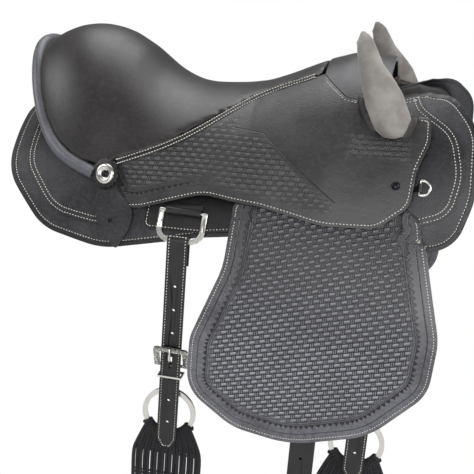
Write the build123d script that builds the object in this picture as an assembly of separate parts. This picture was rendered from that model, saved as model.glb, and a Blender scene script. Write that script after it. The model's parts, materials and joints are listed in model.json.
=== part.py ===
from build123d import *
from functools import lru_cache
from math import atan, atan2, cos, degrees, pi, radians, sin, sqrt, tan
import os

# Australian stock saddle, half-breed pattern with swinging fenders.
# Millimetres.  +X points to the pommel, +Z up.  The off side, the one the girth hangs on, faces -Y.
# The origin is the ridge of the rack or horse back on the centre plane, below the lowest part of the seat.
# Every leather layer is the gap between two offset copies of one smooth form, cut to its own outline.

# Driving dimensions of the side form that the panels and skirts follow
side_stations = (-332, -165, 0, 55, 110, 165, 220, 275, 330, 385, 440)
ridge_height = 38
ridge_rise = 125
ridge_rise_at = 380
side_drop = 285
side_drop_slope = 0.11
flank_height = -84
flank_half_width = 222
flank_tuck = 16
flank_tuck_at = 300

# Driving dimensions of the seat form: station, crest, half width, height of the half ellipse
seat_sections = (
    (-334, 122, 51, 16), (-310, 143, 109, 84), (-270, 163, 161, 184), (-225, 169, 191, 236),
    (-180, 160, 212, 278), (-142, 140, 227, 304), (-100, 108, 257, 328), (-50, 88, 276, 338),
    (0, 88, 285, 345), (75, 100, 299, 350), (150, 134, 282, 365), (215, 160, 276, 380),
    (285, 162, 275, 385), (360, 163, 274, 390))
long_stretch = 40

# Leather and padding
skirt_thickness = 5
upper_skirt_thickness = 3.5
jockey_thickness = 5
pommel_cover_thickness = 8
fender_thickness = 5
billet_thickness = 3.5
chape_thickness = 2.5
seat_padding = 24
panel_padding = 28
bar_thickness = 12
seat_gap = 0.3
channel_half_width = 38

# Cantle
cantle_x = -142
cantle_depth = 198
cantle_half_width = 210
cantle_base = -50
cantle_rise = 190
band_width = 18
band_depth = 13
cantle_board_thickness = 15

# Fender and its fold
stirrup_x = 232
fold_height = -80
fold_lean = 27
fold_face = -252
fender_bend = 520
fender_swing_limit = 7
stirrup_bar_radius = 4.2
stirrup_bar_waist = 1.5
stirrup_bar_height = 0
leather_width = 38
leather_thickness = 3
stirrup_eye_height = -588
stirrup_eye_radius = 4.5

# Stirrup iron
iron_inner_width = 118
iron_height = 132
iron_rod = 4.6
tread_width = 42
tread_thickness = 6

# Rigging
rear_dee_x = 2
front_dee_x = 312
dee_bar_height = -84
dee_width = 78
dee_drop = 50
dee_stock_width = 8
dee_stock_thickness = 4
dee_bar_radius = 3
dee_corner = 22
billet_width = 33
billet_end = -487
hole_spacing = 40
hole_radius = 2.4
buckle_height = -323
buckle_width = 57
buckle_length = 41
buckle_side = 8
buckle_thickness = 4
heel_bar_radius = 2.6
tongue_radius = 1.9
keeper_height = -357
keeper_wire = 1.5
ring_height = -426
ring_radius = 45
ring_stock_width = 8
ring_stock_thickness = 5
girth_length = 900
girth_width = 126
girth_thickness = 9
near_billet_end = -560
running_gap = 0.3

# Hardware on the skirts and jockeys
concho_x = -138
concho_height = -45
concho_radius = 17.5
rosette_radius = 25
breast_dee_x = 354
breast_dee_height = -5
breast_dee_radius = 15
breast_dee_wire = 2.2
jockey_screw_x = 319
jockey_screw_height = -3
screw_head_radius = 6.5
stud_height = 136
stud_y = -62


def side_section(x, offset=0.0):
    """Crest, half width and height of the side form's half ellipse at a station."""
    crest = ridge_height + ridge_rise * (max(x, 0) / ridge_rise_at) ** 2
    height = side_drop + side_drop_slope * x
    flank = flank_half_width - flank_tuck * (min(x, 0) / flank_tuck_at) ** 2
    level = 1 - (crest - flank_height) / height
    half_width = flank / sqrt(1 - level ** 2)
    return crest + offset, half_width + offset, height + offset


def side_y(x, z, offset=0.0):
    """Y of the side form on the off side at a height."""
    crest, half_width, height = side_section(x, offset)
    level = 1 - (crest - z) / height
    return -half_width * sqrt(1 - level ** 2)


def side_lean(x, z, offset=0.0):
    """Angle in degrees by which the side form leans out from the vertical."""
    crest, half_width, height = side_section(x, offset)
    level = 1 - (crest - z) / height
    return degrees(atan(half_width * level / (height * sqrt(1 - level ** 2))))


def seat_section(x):
    """Crest, half width and height of the seat form at a station, on a smooth curve through the listed ones."""
    places = [section[0] for section in seat_sections]
    index = min(max(sum(place <= x for place in places), 1), len(places) - 1)
    before, after = seat_sections[index - 1], seat_sections[index]
    ahead, behind = seat_sections[min(index + 1, len(places) - 1)], seat_sections[max(index - 2, 0)]
    reach = after[0] - before[0]
    share = (min(max(x, places[0]), places[-1]) - before[0]) / reach
    values = []
    for p, q, last, following in zip(before[1:], after[1:], behind[1:], ahead[1:]):
        leave = (q - last) / (after[0] - behind[0]) * reach
        arrive = (following - p) / (ahead[0] - before[0]) * reach
        bend = share * share * (3 - 2 * share)
        values.append(p + (q - p) * bend + leave * share * (1 - share) ** 2 - arrive * share ** 2 * (1 - share))
    return tuple(values)


def seat_stations():
    """Listed stations of the seat form, with one more in the middle of each long stretch."""
    places = [section[0] for section in seat_sections]
    middles = [(a + b) / 2 for a, b in zip(places, places[1:]) if b - a >= long_stretch]
    return sorted(places + middles)


def seat_y(x, z):
    """Y of the seat form on the off side at a height."""
    crest, half_width, height = seat_section(x)
    level = 1 - (crest - z) / height
    return -half_width * sqrt(1 - level ** 2)


def seat_lean(x, z):
    """Angle in degrees by which the seat form leans out from the vertical."""
    crest, half_width, height = seat_section(x)
    level = 1 - (crest - z) / height
    return degrees(atan(half_width * level / (height * sqrt(1 - level ** 2))))


def half_ellipse(x, crest, half_width, height):
    """Half ellipse face across the saddle at station x."""
    centre = crest - height
    arc = EllipticalCenterArc((0, centre), half_width, height, start_angle=0, arc_size=180)
    base = Line(arc @ 1, arc @ 0)
    return Plane.YZ.offset(x) * make_face([arc, base])


@lru_cache(maxsize=None)
def side_form(offset):
    """Solid bounded by the side form, moved outward by the offset."""
    return loft([half_ellipse(x, *side_section(x, offset)) for x in side_stations], ruled=True)


@lru_cache(maxsize=None)
def seat_form(offset):
    """Solid bounded by the seat form, moved outward by the offset."""
    faces = []
    for x in seat_stations():
        crest, half_width, height = seat_section(x)
        inset = max(offset, 8 - height)
        faces.append(half_ellipse(x, crest + inset, half_width + offset, height + inset))
    return loft(faces, ruled=True)


def side_prism(points, radii, depth=420):
    """Prism over the off side whose outline is a polygon with rounded corners, seen along Y."""
    outline = make_face(FilletPolyline(*points, radius=radii, close=True))
    return extrude(Plane.XZ * outline, depth)


def plan_prism(points, radii):
    """Upright prism whose outline is a polygon with rounded corners, seen from above."""
    outline = make_face(FilletPolyline(*points, radius=radii, close=True))
    return Pos(0, 0, -300) * extrude(outline, 700)


def block(x0, x1, y0, y1, z0, z1):
    """Box between two corners."""
    return Pos((x0 + x1) / 2, (y0 + y1) / 2, (z0 + z1) / 2) * Box(abs(x1 - x0), abs(y1 - y0), abs(z1 - z0))


def off_side(inner=channel_half_width):
    """Everything on the off side, beyond a distance from the centre plane."""
    return block(-400, 500, -400, -inner, -400, 300)


def other_side(shape):
    """The same piece on the near side."""
    return mirror(shape, about=Plane.XZ)


def tangent_plane(x, y, z, lean, turn=0.0):
    """Plane on a leaning surface, normal outward, its x axis forward."""
    lean, turn = radians(lean), radians(turn)
    normal = (sin(turn) * -cos(lean), -cos(turn) * cos(lean), sin(lean))
    return Plane(origin=(x, y, z), x_dir=(cos(turn), -sin(turn), 0), z_dir=normal)


# Outlines seen from the off side, as corner points and corner radii
skirt_corners = (
    ((-262, 60), 20), ((-326, 34), 30), ((-318, -66), 80), ((-236, -142), 90), ((-126, -158), 140),
    ((30, -120), 200), ((140, -103), 200), ((330, -108), 160), ((416, -88), 55), ((436, -10), 120),
    ((428, 84), 60), ((386, 124), 40), ((330, 116), 40), ((290, 220), 20), ((-200, 220), 20))
upper_skirt_corners = (
    ((-240, 60), 15), ((-298, 26), 30), ((-288, -50), 60), ((-222, -114), 80), ((-120, -124), 60),
    ((-60, -50), 30), ((330, -50), 40), ((352, -64), 10), ((406, -42), 45), ((416, 20), 80),
    ((398, 78), 50), ((340, 104), 30), ((290, 220), 20), ((-200, 220), 20))
panel_corners = (
    ((-262, 60), 20), ((-300, 24), 30), ((-292, -50), 60), ((-222, -120), 80), ((-120, -134), 100),
    ((30, -104), 150), ((140, -88), 150), ((330, -92), 120), ((392, -76), 40), ((408, -10), 80),
    ((400, 70), 50), ((370, 108), 30), ((330, 104), 30), ((290, 220), 20), ((-200, 220), 20))
rigging_corners = (
    ((-62, -50.3), 3), ((-62, -116), 10), ((30, -112), 150), ((140, -94), 150), ((250, -97), 100),
    ((345, -99), 12), ((345, -68), 6), ((325, -50.3), 6))
jockey_corners = (
    ((-146, -38), 5), ((-122, -96), 14), ((-70, -87), 60), ((30, -52), 90), ((120, -56), 120),
    ((220, -72), 130), ((300, -66), 45), ((344, -30), 30), ((346, 20), 60), ((360, 60), 30),
    ((357, 90), 8), ((286, 93), 3), ((284, 125), 2), ((180, 160), 2), ((-140, 20), 2))
seam_points = ((180, 131), (86, 91), (50, 71), (-60, 0), (-126, -28))
seam_radii = (120, 120, 150)
pommel_corners = (
    ((165.4, 240), 2), ((180.4, 131), 2), ((226, 106), 15), ((286, 100), 6), ((286, 240), 2))
fender_corners = (
    ((81, -70), 2), ((80, -150), 120), ((41, -262), 70), ((42, -350), 60), ((120, -402), 90),
    ((212, -414), 160), ((330, -376), 120), ((408, -290), 70), ((412, -210), 90), ((371, -70), 2))
neck_corners = (
    ((81, -90), 1), ((80, -60), 12), ((184, 11), 16), ((258, 11), 16), ((362, -50), 14), ((371, -90), 1))


def corners(listed):
    """Split corner points from their radii."""
    return [point for point, _ in listed], [radius for _, radius in listed]


def side_layer(inner, outer, listed, start=channel_half_width):
    """Leather layer of the side form between two offsets, cut to an outline."""
    return (side_form(outer) - side_form(inner)) & side_prism(*corners(listed)) & off_side(start)


def seat_layer(inner, outer, listed):
    """Leather layer of the seat form between two offsets, cut to an outline on the off side."""
    return (seat_form(outer) - seat_form(inner)) & side_prism(*corners(listed)) & off_side(0)


def rim_curve(rise, drop=0.0, inset=0.0):
    """Side view of the cantle rim, as a curve from the concho up to the rear."""
    start, reach = cantle_x, (cantle_depth - inset) / 3
    low = cantle_base + drop
    controls = [(start, low), (start - reach, low), (start - 2 * reach, low), (start - 3 * reach, low + rise)]
    return Bezier(*controls)


def seat_outline():
    """Prism over the off side that holds the seat, above the seam and the cantle rim."""
    seam = FilletPolyline(*seam_points, radius=list(seam_radii))
    rim = rim_curve(cantle_rise, band_width / 2)
    top = Polyline(rim @ 1, (-380, (rim @ 1).Y), (-380, 240), (165, 240), seam @ 0)
    face = make_face([seam, Line(seam @ 1, rim @ 0), rim, top])
    return extrude(Plane.XZ * face, 420)


def both_sides(shape):
    """A shape together with its mirror image across the centre plane."""
    return shape + other_side(shape)


def skirt():
    """Large outer skirt that lies on the panel."""
    return side_layer(0, skirt_thickness, skirt_corners)


def upper_skirt():
    """Double-stitched second layer on the skirt, from the rear lobe to the front lobe."""
    inner = skirt_thickness + seat_gap
    return side_layer(inner, inner + upper_skirt_thickness, upper_skirt_corners)


def rigging_plate():
    """Strap of rigging leather on the skirt that both dees are fixed to."""
    inner = skirt_thickness + seat_gap
    plate = side_layer(inner, inner + upper_skirt_thickness, rigging_corners)
    return plate - Pos(0, 0, -seat_gap) * side_prism(*corners(upper_skirt_corners))


def panel():
    """Padded panel between the skirt and the horse."""
    return side_layer(-panel_padding, -seat_gap, panel_corners)


bar_inner = skirt_thickness + upper_skirt_thickness + 2 * seat_gap
bar_outer = bar_inner + bar_thickness
tree_bar_edge = 118


def tree_bar():
    """Tree bar along one side of the back."""
    plan = (((-262, -44), 8), ((-262, -118), 30), ((-120, -112), 60), ((60, -92), 80), ((160, -tree_bar_edge), 60),
            ((292, -tree_bar_edge), 20), ((292, -60), 10), ((60, -44), 80))
    return (side_form(bar_outer) - side_form(bar_inner)) & plan_prism(*corners(plan))


def cantle_plan(inset):
    """Half ellipse in plan behind the concho line, inset from the rim."""
    whole = Pos(cantle_x, 0) * Ellipse(cantle_depth - inset, cantle_half_width - inset)
    return whole & Pos(cantle_x - 250, 0) * Rectangle(500, 500)


def ground_seat():
    """Built-up ground seat that fills the space between the tree bars and the seat."""
    front = Pos((cantle_x + 188) / 2, 0) * Rectangle(188 - cantle_x, 180)
    plan = front + cantle_plan(band_depth + cantle_board_thickness + 2 * seat_gap)
    column = Pos(0, 0, -100) * extrude(plan, 400)
    filler = seat_form(-seat_padding - seat_gap) - side_form(bar_outer + seat_gap)
    return filler & column & block(-400, 400, -300, 300, -20, 300)


def cantle_board():
    """Upright board behind the seat, under the rim."""
    ring = cantle_plan(band_depth) - cantle_plan(band_depth + cantle_board_thickness)
    ring = ring & Pos(cantle_x - 268, 0) * Rectangle(500, 500)
    wall = Pos(0, 0, -100) * extrude(ring, 400)
    rim = rim_curve(cantle_rise, band_width / 2 - 2 * seat_gap)
    low = Polyline(rim @ 1, (-400, (rim @ 1).Y), (-400, -100), (cantle_x, -100), rim @ 0)
    below = both_sides(extrude(Plane.XZ * make_face([rim, low]), 420))
    return (wall & below) - side_form(bar_inner) - both_sides(tree_bar())


def band_roll(grow):
    """Roll along the cantle rim, with its section grown on every side."""
    sections = []
    for step in range(-7, 8):
        angle = radians(step * 12)
        origin = Vector(cantle_x - (cantle_depth - 3) * cos(angle), (cantle_half_width - 3) * sin(angle),
                        cantle_base + cantle_rise * cos(angle) ** 3)
        tangent = Vector(cantle_depth * sin(angle), cantle_half_width * cos(angle),
                         -3 * cantle_rise * cos(angle) ** 2 * sin(angle))
        outward = Vector(-cos(angle), sin(angle), 0)
        across = outward - tangent * (outward.dot(tangent) / tangent.dot(tangent))
        plane = Plane(origin=origin, x_dir=across, z_dir=tangent)
        shape = chamfer(Rectangle(band_depth + 2 * grow, band_width - 1 + 2 * grow).vertices(), 3.5)
        sections.append(plane * shape)
    return loft(sections, ruled=True)


def cantle_band():
    """Leather roll that follows the cantle rim from concho to concho and lies on the skirts."""
    return largest(band_roll(0) - side_form(bar_inner))


def largest(shape):
    """The biggest solid of a shape that a cut may have split."""
    return max(shape.solids(), key=lambda solid: solid.volume)


def seat_cushion():
    """Padded seat with its raised rear."""
    cover = (seat_form(0) - seat_form(-seat_padding)) & both_sides(seat_outline())
    return largest(cover - side_form(bar_inner) - both_sides(tree_bar()) - band_roll(seat_gap))


def pommel_cover():
    """Leather cover over the fork, from the seat seam to the front edge."""
    cover = seat_form(0) - seat_form(-pommel_cover_thickness)
    return cover & both_sides(side_prism(*corners(pommel_corners)))


def fork_arch():
    """Fork of the tree, an arch over the withers that stands on both bars."""
    arch = seat_form(-pommel_cover_thickness - seat_gap) - side_form(bar_outer + seat_gap)
    return arch & block(192, 278, -160, 160, 62, 200)


def side_jockey():
    """Side jockey that hangs from the seat seam over the stirrup leather."""
    layer = seat_layer(-jockey_thickness, 0, jockey_corners)
    pommel = side_prism(*corners(pommel_corners))
    above = seat_outline() + pommel + Pos(-1, 0, 0) * pommel
    return largest(layer - Pos(0, 0, -seat_gap) * above - side_form(bar_inner))


def neck_plane_y(z, depth=0.0):
    """Y of the fender neck's outer face at a height, or of a face deeper in."""
    lean = radians(fold_lean)
    return fold_face + (z - fold_height) * tan(lean) + depth / cos(lean)


def neck_block(low, high, front, back, x0, x1):
    """Flat plate in the plane of the fender neck, between two depths and two distances from the fold."""
    lean = radians(fold_lean)
    up, inward = Vector(sin(lean), cos(lean)), Vector(cos(lean), -sin(lean))
    start = Vector(fold_face, fold_height)
    points = [start + up * v + inward * w for v, w in ((low, front), (high, front), (high, back), (low, back))]
    return Pos(x0, 0, 0) * extrude(Plane.YZ * make_face(Polyline(*points, close=True)), x1 - x0)


def fender_neck():
    """Upper part of the fender, in the pocket under the side jockey."""
    plate = neck_block(seat_gap, 100, 0, fender_thickness, 60, 390)
    return plate & side_prism(*corners(neck_corners))


def stirrup_hanger():
    """Upper stirrup leather, looped over the stirrup bar and laid on the back of the neck."""
    lean = radians(fold_lean)
    y, z = stirrup_bar_centre()
    rise = (y - fold_face) * sin(lean) + (z - fold_height) * cos(lean)
    half = leather_width / 2
    front, back = fender_thickness, fender_thickness + leather_thickness
    leaf = neck_block(8, rise, front, back, stirrup_x - half, stirrup_x + half)
    inner = stirrup_bar_radius + running_gap
    sleeve = Cylinder(inner + leather_thickness, leather_width) - Cylinder(inner, leather_width)
    return leaf + Pos(stirrup_x, y, z) * Rot(0, 90, 0) * sleeve


def stirrup_bar_centre():
    """Y and Z of the stirrup bar, one leather behind the neck."""
    depth = fender_thickness + stirrup_bar_radius + running_gap + leather_thickness
    return neck_plane_y(stirrup_bar_height, depth), stirrup_bar_height


def stirrup_bar():
    """Forged bar that the stirrup leather hangs on, with its plate on the tree bar."""
    y, z = stirrup_bar_centre()
    half = leather_width / 2 + 1.2
    ends = half + 9
    thick, thin = stirrup_bar_radius, stirrup_bar_waist
    profile = Polyline((0, -ends), (thick, -ends), (thick, -half), (thin, -half), (thick, 0),
                       (thin, half), (thick, half), (thick, ends), (0, ends), close=True)
    bar = Pos(stirrup_x, y, z) * Rot(0, 0, -90) * revolve(make_face(profile), Axis.Y)
    plate = side_form(bar_inner + 4) - side_form(bar_inner)
    web = plate & block(stirrup_x - ends, stirrup_x + ends, -260, -tree_bar_edge - 0.2, z + 6, 90)
    arms = []
    for side in (-1, 1):
        outer, inner = stirrup_x + side * ends, stirrup_x + side * (half + 1)
        arms.append(block(outer, inner, y - 2, y + 45, z - 3, z + 22))
    arms = (arms[0] + arms[1]) - side_form(bar_inner)
    return bar + web + arms


def fender_profile(front, back, low):
    """Profile across the fender between two depths behind its outer face, down to a height."""
    lean = radians(fold_lean)
    centre = (fold_face + fender_bend * cos(lean), fold_height - fender_bend * sin(lean))
    outer = CenterArc(centre, fender_bend - front, 180 - fold_lean, fold_lean)
    inner = CenterArc(centre, fender_bend - back, 180 - fold_lean, fold_lean)
    down = Polyline(outer @ 1, ((outer @ 1).X, low), ((inner @ 1).X, low), inner @ 1)
    return Plane.YZ * make_face([outer, down, inner, Line(inner @ 0, outer @ 0)])


def fender():
    """Fender below its fold, curved over the girth straps and then hanging straight."""
    plate = extrude(fender_profile(0, fender_thickness, -430), 480)
    return plate & side_prism(*corners(fender_corners))


def stirrup_hinge():
    """Y and Z of the bar in the stirrup's eye."""
    lean = radians(fold_lean)
    vertical = fold_face + fender_bend * cos(lean) - fender_bend
    offset = fender_thickness + leather_thickness + running_gap + stirrup_eye_radius
    return vertical + offset, stirrup_eye_height


def stirrup_leather():
    """Lower stirrup leather, along the back of the fender and around the stirrup's eye."""
    y, z = stirrup_hinge()
    inner = stirrup_eye_radius + running_gap
    outer = inner + leather_thickness
    front = extrude(fender_profile(fender_thickness, fender_thickness + leather_thickness, z), leather_width)
    front = Pos(stirrup_x - leather_width / 2, 0, 0) * front
    front = front & block(0, 400, -400, -200, z, fold_height - 12)
    turn = Rot(0, 90, 0) * (Cylinder(outer, leather_width) - Cylinder(inner, leather_width))
    turn = Pos(stirrup_x, y, z) * (turn & block(-50, 50, -50, 50, -50, 0))
    back = block(stirrup_x - leather_width / 2, stirrup_x + leather_width / 2, y + inner, y + outer, z, -345)
    holes = [Pos(stirrup_x, y - outer, z + 60 + 30 * step) * Rot(90, 0, 0) * Cylinder(hole_radius, 12)
             for step in range(4)]
    return front + turn + back - holes


def stirrup_iron():
    """Stirrup iron with its eye, arch and tread plate."""
    half = iron_inner_width / 2 + iron_rod
    top = -16 - iron_rod
    sides = -(iron_height - tread_thickness)
    arch = Wire([Line((-half, 0, sides), (-half, 0, top - half)),
                 ThreePointArc((-half, 0, top - half), (0, 0, top), (half, 0, top - half)),
                 Line((half, 0, top - half), (half, 0, sides))])
    section = chamfer(Rectangle(2 * iron_rod, 2 * iron_rod).vertices(), 2.6)
    rod = sweep(Plane(origin=arch @ 0, z_dir=(0, 0, 1)) * section, path=arch)
    slot = leather_width / 2 + 2.5
    posts = block(-slot - 7, slot + 7, -iron_rod, iron_rod, top - 12, 0) - block(-slot, slot, -10, 10, -14, 5)
    eye = Rot(0, 90, 0) * Cylinder(stirrup_eye_radius, 2 * slot + 14)
    tread = Pos(0, 0, sides - tread_thickness / 2) * Box(2 * half + 9, tread_width, tread_thickness)
    tread = chamfer(tread.edges().filter_by(Axis.Z), 8)
    y, z = stirrup_hinge()
    return Pos(stirrup_x, y, z) * (rod + posts + eye + tread)


def tread_pad():
    """Rubber pad on the tread, with grip bars."""
    y, z = stirrup_hinge()
    base = Box(iron_inner_width - 14, tread_width - 8, 3)
    bars = [Pos(x, 0, 2.5) * Box(5, tread_width - 14, 2) for x in range(-44, 45, 11)]
    return Pos(stirrup_x, y, z - iron_height + tread_thickness + 1.5) * (base + bars)


def dee_lean(x):
    """Lean of a rigging dee that lies along the rigging plate."""
    return side_lean(x, dee_bar_height - dee_drop / 2, bar_inner)


def dee_bar_point(x):
    """Centre of a rigging dee's bar, one chape off the rigging plate."""
    lean = radians(dee_lean(x))
    plate = side_y(x, dee_bar_height, skirt_thickness + upper_skirt_thickness + 2 * seat_gap)
    away = dee_bar_radius + running_gap + chape_thickness + 0.7
    return Vector(x, plate - away / cos(lean), dee_bar_height)


def dee_frame(x):
    """Plane of a rigging dee: origin on its bar, x forward, y up along the leather."""
    return tangent_plane(*dee_bar_point(x), dee_lean(x))


def dee_foot(x):
    """Centre of the dee's lowest stretch, where the billet folds over it."""
    return dee_frame(x).from_local_coords(Vector(0, -dee_drop + dee_stock_width / 2, 0))


def rigging_dee(x):
    """Flat dee with a round bar at the top and wide lower corners."""
    half, drop, stock = dee_width / 2, dee_drop, dee_stock_width
    outer = make_face(FilletPolyline((-half, 2), (half, 2), (half, -drop), (-half, -drop),
                                     radius=[1.5, 1.5, dee_corner, dee_corner], close=True))
    inner = make_face(FilletPolyline((stock - half, 9), (half - stock, 9), (half - stock, stock - drop),
                                     (stock - half, stock - drop), radius=[1, 1, dee_corner - stock,
                                                                           dee_corner - stock], close=True))
    ring = extrude(outer - inner, dee_stock_thickness / 2, both=True)
    bar = Rot(0, 90, 0) * Cylinder(dee_bar_radius, dee_width - 1)
    return dee_frame(x) * (ring + bar)


def dee_chape(x):
    """Leather chape that wraps the dee's bar and runs up under the side jockey."""
    inner = dee_bar_radius + running_gap
    outer = inner + chape_thickness
    width = dee_width - 2 * dee_stock_width - 5
    sleeve = Rot(0, 90, 0) * (Cylinder(outer, width) - Cylinder(inner, width))
    leaf = block(-width / 2, width / 2, 1, 15, -outer, -inner + 0.4)
    leaf = leaf - Rot(0, 90, 0) * Cylinder(inner, width + 2)
    chape = dee_frame(x) * (sleeve + leaf)
    return chape - side_form(bar_inner)


def strap_frame():
    """Upright plane of the straps below both dees: origin under the rear dee's foot, heights unchanged."""
    rear, front = dee_foot(rear_dee_x), dee_foot(front_dee_x)
    return Plane(origin=(rear.X, rear.Y, 0), x_dir=(front.X - rear.X, front.Y - rear.Y, 0), z_dir=(0, 0, 1))


loop_inner = 5.1
chape_gap = 4.2
chape_back = chape_gap + chape_thickness
chape_width = 26
strap_y = -(loop_inner + billet_thickness / 2)


def billet(dee_x, low, tongue_slot=None):
    """Billet strap that folds over the dee's foot and hangs straight, in the strap frame."""
    half, foot = billet_width / 2, dee_foot(dee_x).Z
    outer = loop_inner + billet_thickness
    turn = Rot(0, 90, 0) * (Cylinder(outer, billet_width) - Cylinder(loop_inner, billet_width))
    turn = Pos(0, 0, foot) * (turn & block(-50, 50, -50, 50, 0, 50))
    face = make_face(Polyline((-half, foot), (half, foot), (half, low + 16), (half - 9, low), (9 - half, low),
                              (-half, low + 16), close=True))
    front = Pos(0, -loop_inner, 0) * extrude(Plane.XZ * face, billet_thickness)
    back = block(-half, half, loop_inner, outer, foot - 42, foot)
    heights = [buckle_height + 4 + hole_spacing * step for step in range(-4, 5)]
    drill = Pos(0, -30, 0) * Rot(90, 0, 0) * Cylinder(hole_radius, 50)
    holes = [Pos(0, 0, z) * drill for z in heights if low + 20 < z < foot - 50]
    if tongue_slot:
        holes = [Pos(0, 0, z) * drill for z in heights if low + 20 < z < foot - 50 and z != buckle_height + 4]
        holes.append(block(-2.4, 2.4, -30, 0, buckle_height + tongue_slot[0], buckle_height + tongue_slot[1]))
    return turn + front + back - holes


def buckle_points():
    """Local Y and Z of a buckle's heel bar and toe bar in the strap frame."""
    centre, reach = buckle_height, (buckle_length - buckle_side) / 2
    heel = strap_y + billet_thickness / 2 + running_gap + chape_back
    toe = strap_y - billet_thickness / 2 - running_gap - buckle_thickness / 2 - 1.9
    return (heel, centre - reach), (toe, centre + reach)


def buckle():
    """Buckle frame, tilted so that the billet runs behind its toe and over its heel bar."""
    (heel_y, heel_z), (toe_y, toe_z) = buckle_points()
    tilt = degrees(atan2(toe_y - heel_y, toe_z - heel_z))
    half, reach = buckle_width / 2, (toe_z - heel_z) / cos(radians(tilt))
    outer = make_face(FilletPolyline((-half, -2), (half, -2), (half, reach + 4), (-half, reach + 4),
                                     radius=[1, 1, 6, 6], close=True))
    opening = Pos(0, reach / 2 - 2) * Rectangle(buckle_width - 2 * buckle_side - 2, reach - 4)
    frame = Rot(90, 0, 0) * extrude(outer - opening, buckle_thickness / 2, both=True)
    frame = frame - block(buckle_side - half, half - buckle_side, -9, 9, -9, 6)
    bar = Rot(0, 90, 0) * Cylinder(heel_bar_radius, buckle_width - 6)
    return Pos(0, heel_y, heel_z) * Rot(-tilt, 0, 0) * (frame + bar)


def tongue():
    """Buckle tongue, hinged on the heel bar, through the billet and resting on the toe."""
    (heel_y, heel_z), (toe_y, toe_z) = buckle_points()
    inner = heel_bar_radius + running_gap
    eye = Cylinder(inner + 2.2, 4.4) - Cylinder(inner, 4.4)
    eye = Rot(0, 90, 0) * eye
    rest = toe_y - buckle_thickness / 2 - 2 - tongue_radius - heel_y
    reach = toe_z - heel_z
    points = [(0, -inner - 1.6, 2.5), (0, rest, reach * 0.55), (0, rest, reach + 5)]
    route = FilletPolyline(*points, radius=6)
    section = chamfer(Rectangle(2 * tongue_radius, 2 * tongue_radius).vertices(), 1)
    rod = sweep(Plane(origin=route @ 0, x_dir=(1, 0, 0), z_dir=route % 0) * section, path=Wire(route.edges()))
    rod = rod - Rot(0, 90, 0) * Cylinder(inner, 20)
    return Pos(0, heel_y, heel_z) * (eye + rod)


def keeper():
    """Wire keeper around the billet and the chape behind it."""
    front = strap_y - billet_thickness / 2 - 0.25
    back = ring_plane_y() + chape_back + 0.25
    half = billet_width / 2 + 0.5
    wire = 2 * keeper_wire
    loop = block(-half - wire, half + wire, front - wire, back + wire, 0, wire)
    loop = loop - block(-half, half, front, back, -1, wire + 1)
    return Pos(0, 0, keeper_height) * loop


def ring_plane_y():
    """Local Y of the girth rings' plane in the strap frame."""
    return buckle_points()[0][0]


def chape_loop_z():
    """Local Z of the girth chape's lower loop, inside the ring."""
    inside = ring_radius - ring_stock_width
    edge = sqrt(inside ** 2 - (chape_width / 2) ** 2)
    return ring_height + edge - running_gap + sqrt(chape_gap ** 2 - (ring_stock_thickness / 2) ** 2)


def girth_chape():
    """Short doubled strap from the buckle's heel bar down to the girth ring."""
    (heel_y, heel_z), _ = buckle_points()
    top_inner = heel_bar_radius + running_gap
    top, low = Pos(heel_y, heel_z), Pos(heel_y, chape_loop_z())
    outside = make_hull((top * Circle(top_inner + chape_thickness) + low * Circle(chape_back)).edges())
    inside = make_hull((top * Circle(top_inner) + low * Circle(chape_gap)).edges())
    loop = extrude(Plane.YZ * (outside - inside), chape_width / 2, both=True)
    return loop - block(-2.8, 2.8, -30, 30, heel_z - 6.2, heel_z + 12)


def upright_face(face, y, thickness):
    """Plate of even thickness about a plane y, from a face seen from the off side."""
    return Pos(0, y, 0) * extrude(Plane.XZ * face, thickness / 2, both=True)


def girth_ring(x):
    """Flat girth ring in the strap frame."""
    centre = Pos(x, ring_height)
    face = centre * Circle(ring_radius) - centre * Circle(ring_radius - ring_stock_width)
    return upright_face(face, ring_plane_y(), ring_stock_thickness)


def dee_distance():
    """Level distance between the feet of the two dees."""
    apart = dee_foot(front_dee_x) - dee_foot(rear_dee_x)
    return sqrt(apart.X ** 2 + apart.Y ** 2)


def girth_end(x):
    """Face of the girth's end, from its sleeve around the ring out to its full width."""
    ring_z, half = ring_height, girth_width / 2
    sleeve = Pos(x, ring_z) * (Circle(ring_radius + 5) - Circle(ring_radius - ring_stock_width - 5))
    sleeve = sleeve & Pos(x, ring_z - 51) * Rectangle(86, 50)
    fan = make_face(Polyline((x - 40, ring_z - 24), (x - half, ring_z - 62), (x - half, ring_z - 84),
                             (x + half, ring_z - 84), (x + half, ring_z - 62), (x + 40, ring_z - 24), close=True))
    return sleeve + (fan - Pos(x, ring_z) * Circle(ring_radius - ring_stock_width - 5))


def girth():
    """String girth that hangs from both rings as one open loop."""
    span, half = dee_distance(), girth_width / 2
    ring_z = ring_height
    turn_z = ring_z - (girth_length - pi * span / 2) / 2
    legs = [Pos(x, (turn_z + ring_z - 80) / 2) * Rectangle(girth_width, ring_z - 80 - turn_z) for x in (0, span)]
    bend = Pos(span / 2, turn_z) * (Circle(span / 2 + half) - Circle(span / 2 - half))
    bend = bend & Pos(span / 2, turn_z - 200) * Rectangle(800, 400)
    face = girth_end(0) + girth_end(span) + legs[0] + legs[1] + bend
    web = upright_face(face, ring_plane_y(), girth_thickness)
    for x in (0, span):
        centre = Pos(x, ring_z)
        groove = centre * Circle(ring_radius + 0.2) - centre * Circle(ring_radius - ring_stock_width - 0.2)
        web = web - upright_face(groove, ring_plane_y(), ring_stock_thickness + 0.4)
    return web


def concho_plane(lift):
    """Plane on the drop tab at the concho, a little off the leather."""
    lean = seat_lean(concho_x, concho_height)
    y = seat_y(concho_x, concho_height) - (seat_gap + 4 + lift) / cos(radians(lean))
    return tangent_plane(concho_x, y, concho_height, lean, 14)


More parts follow.
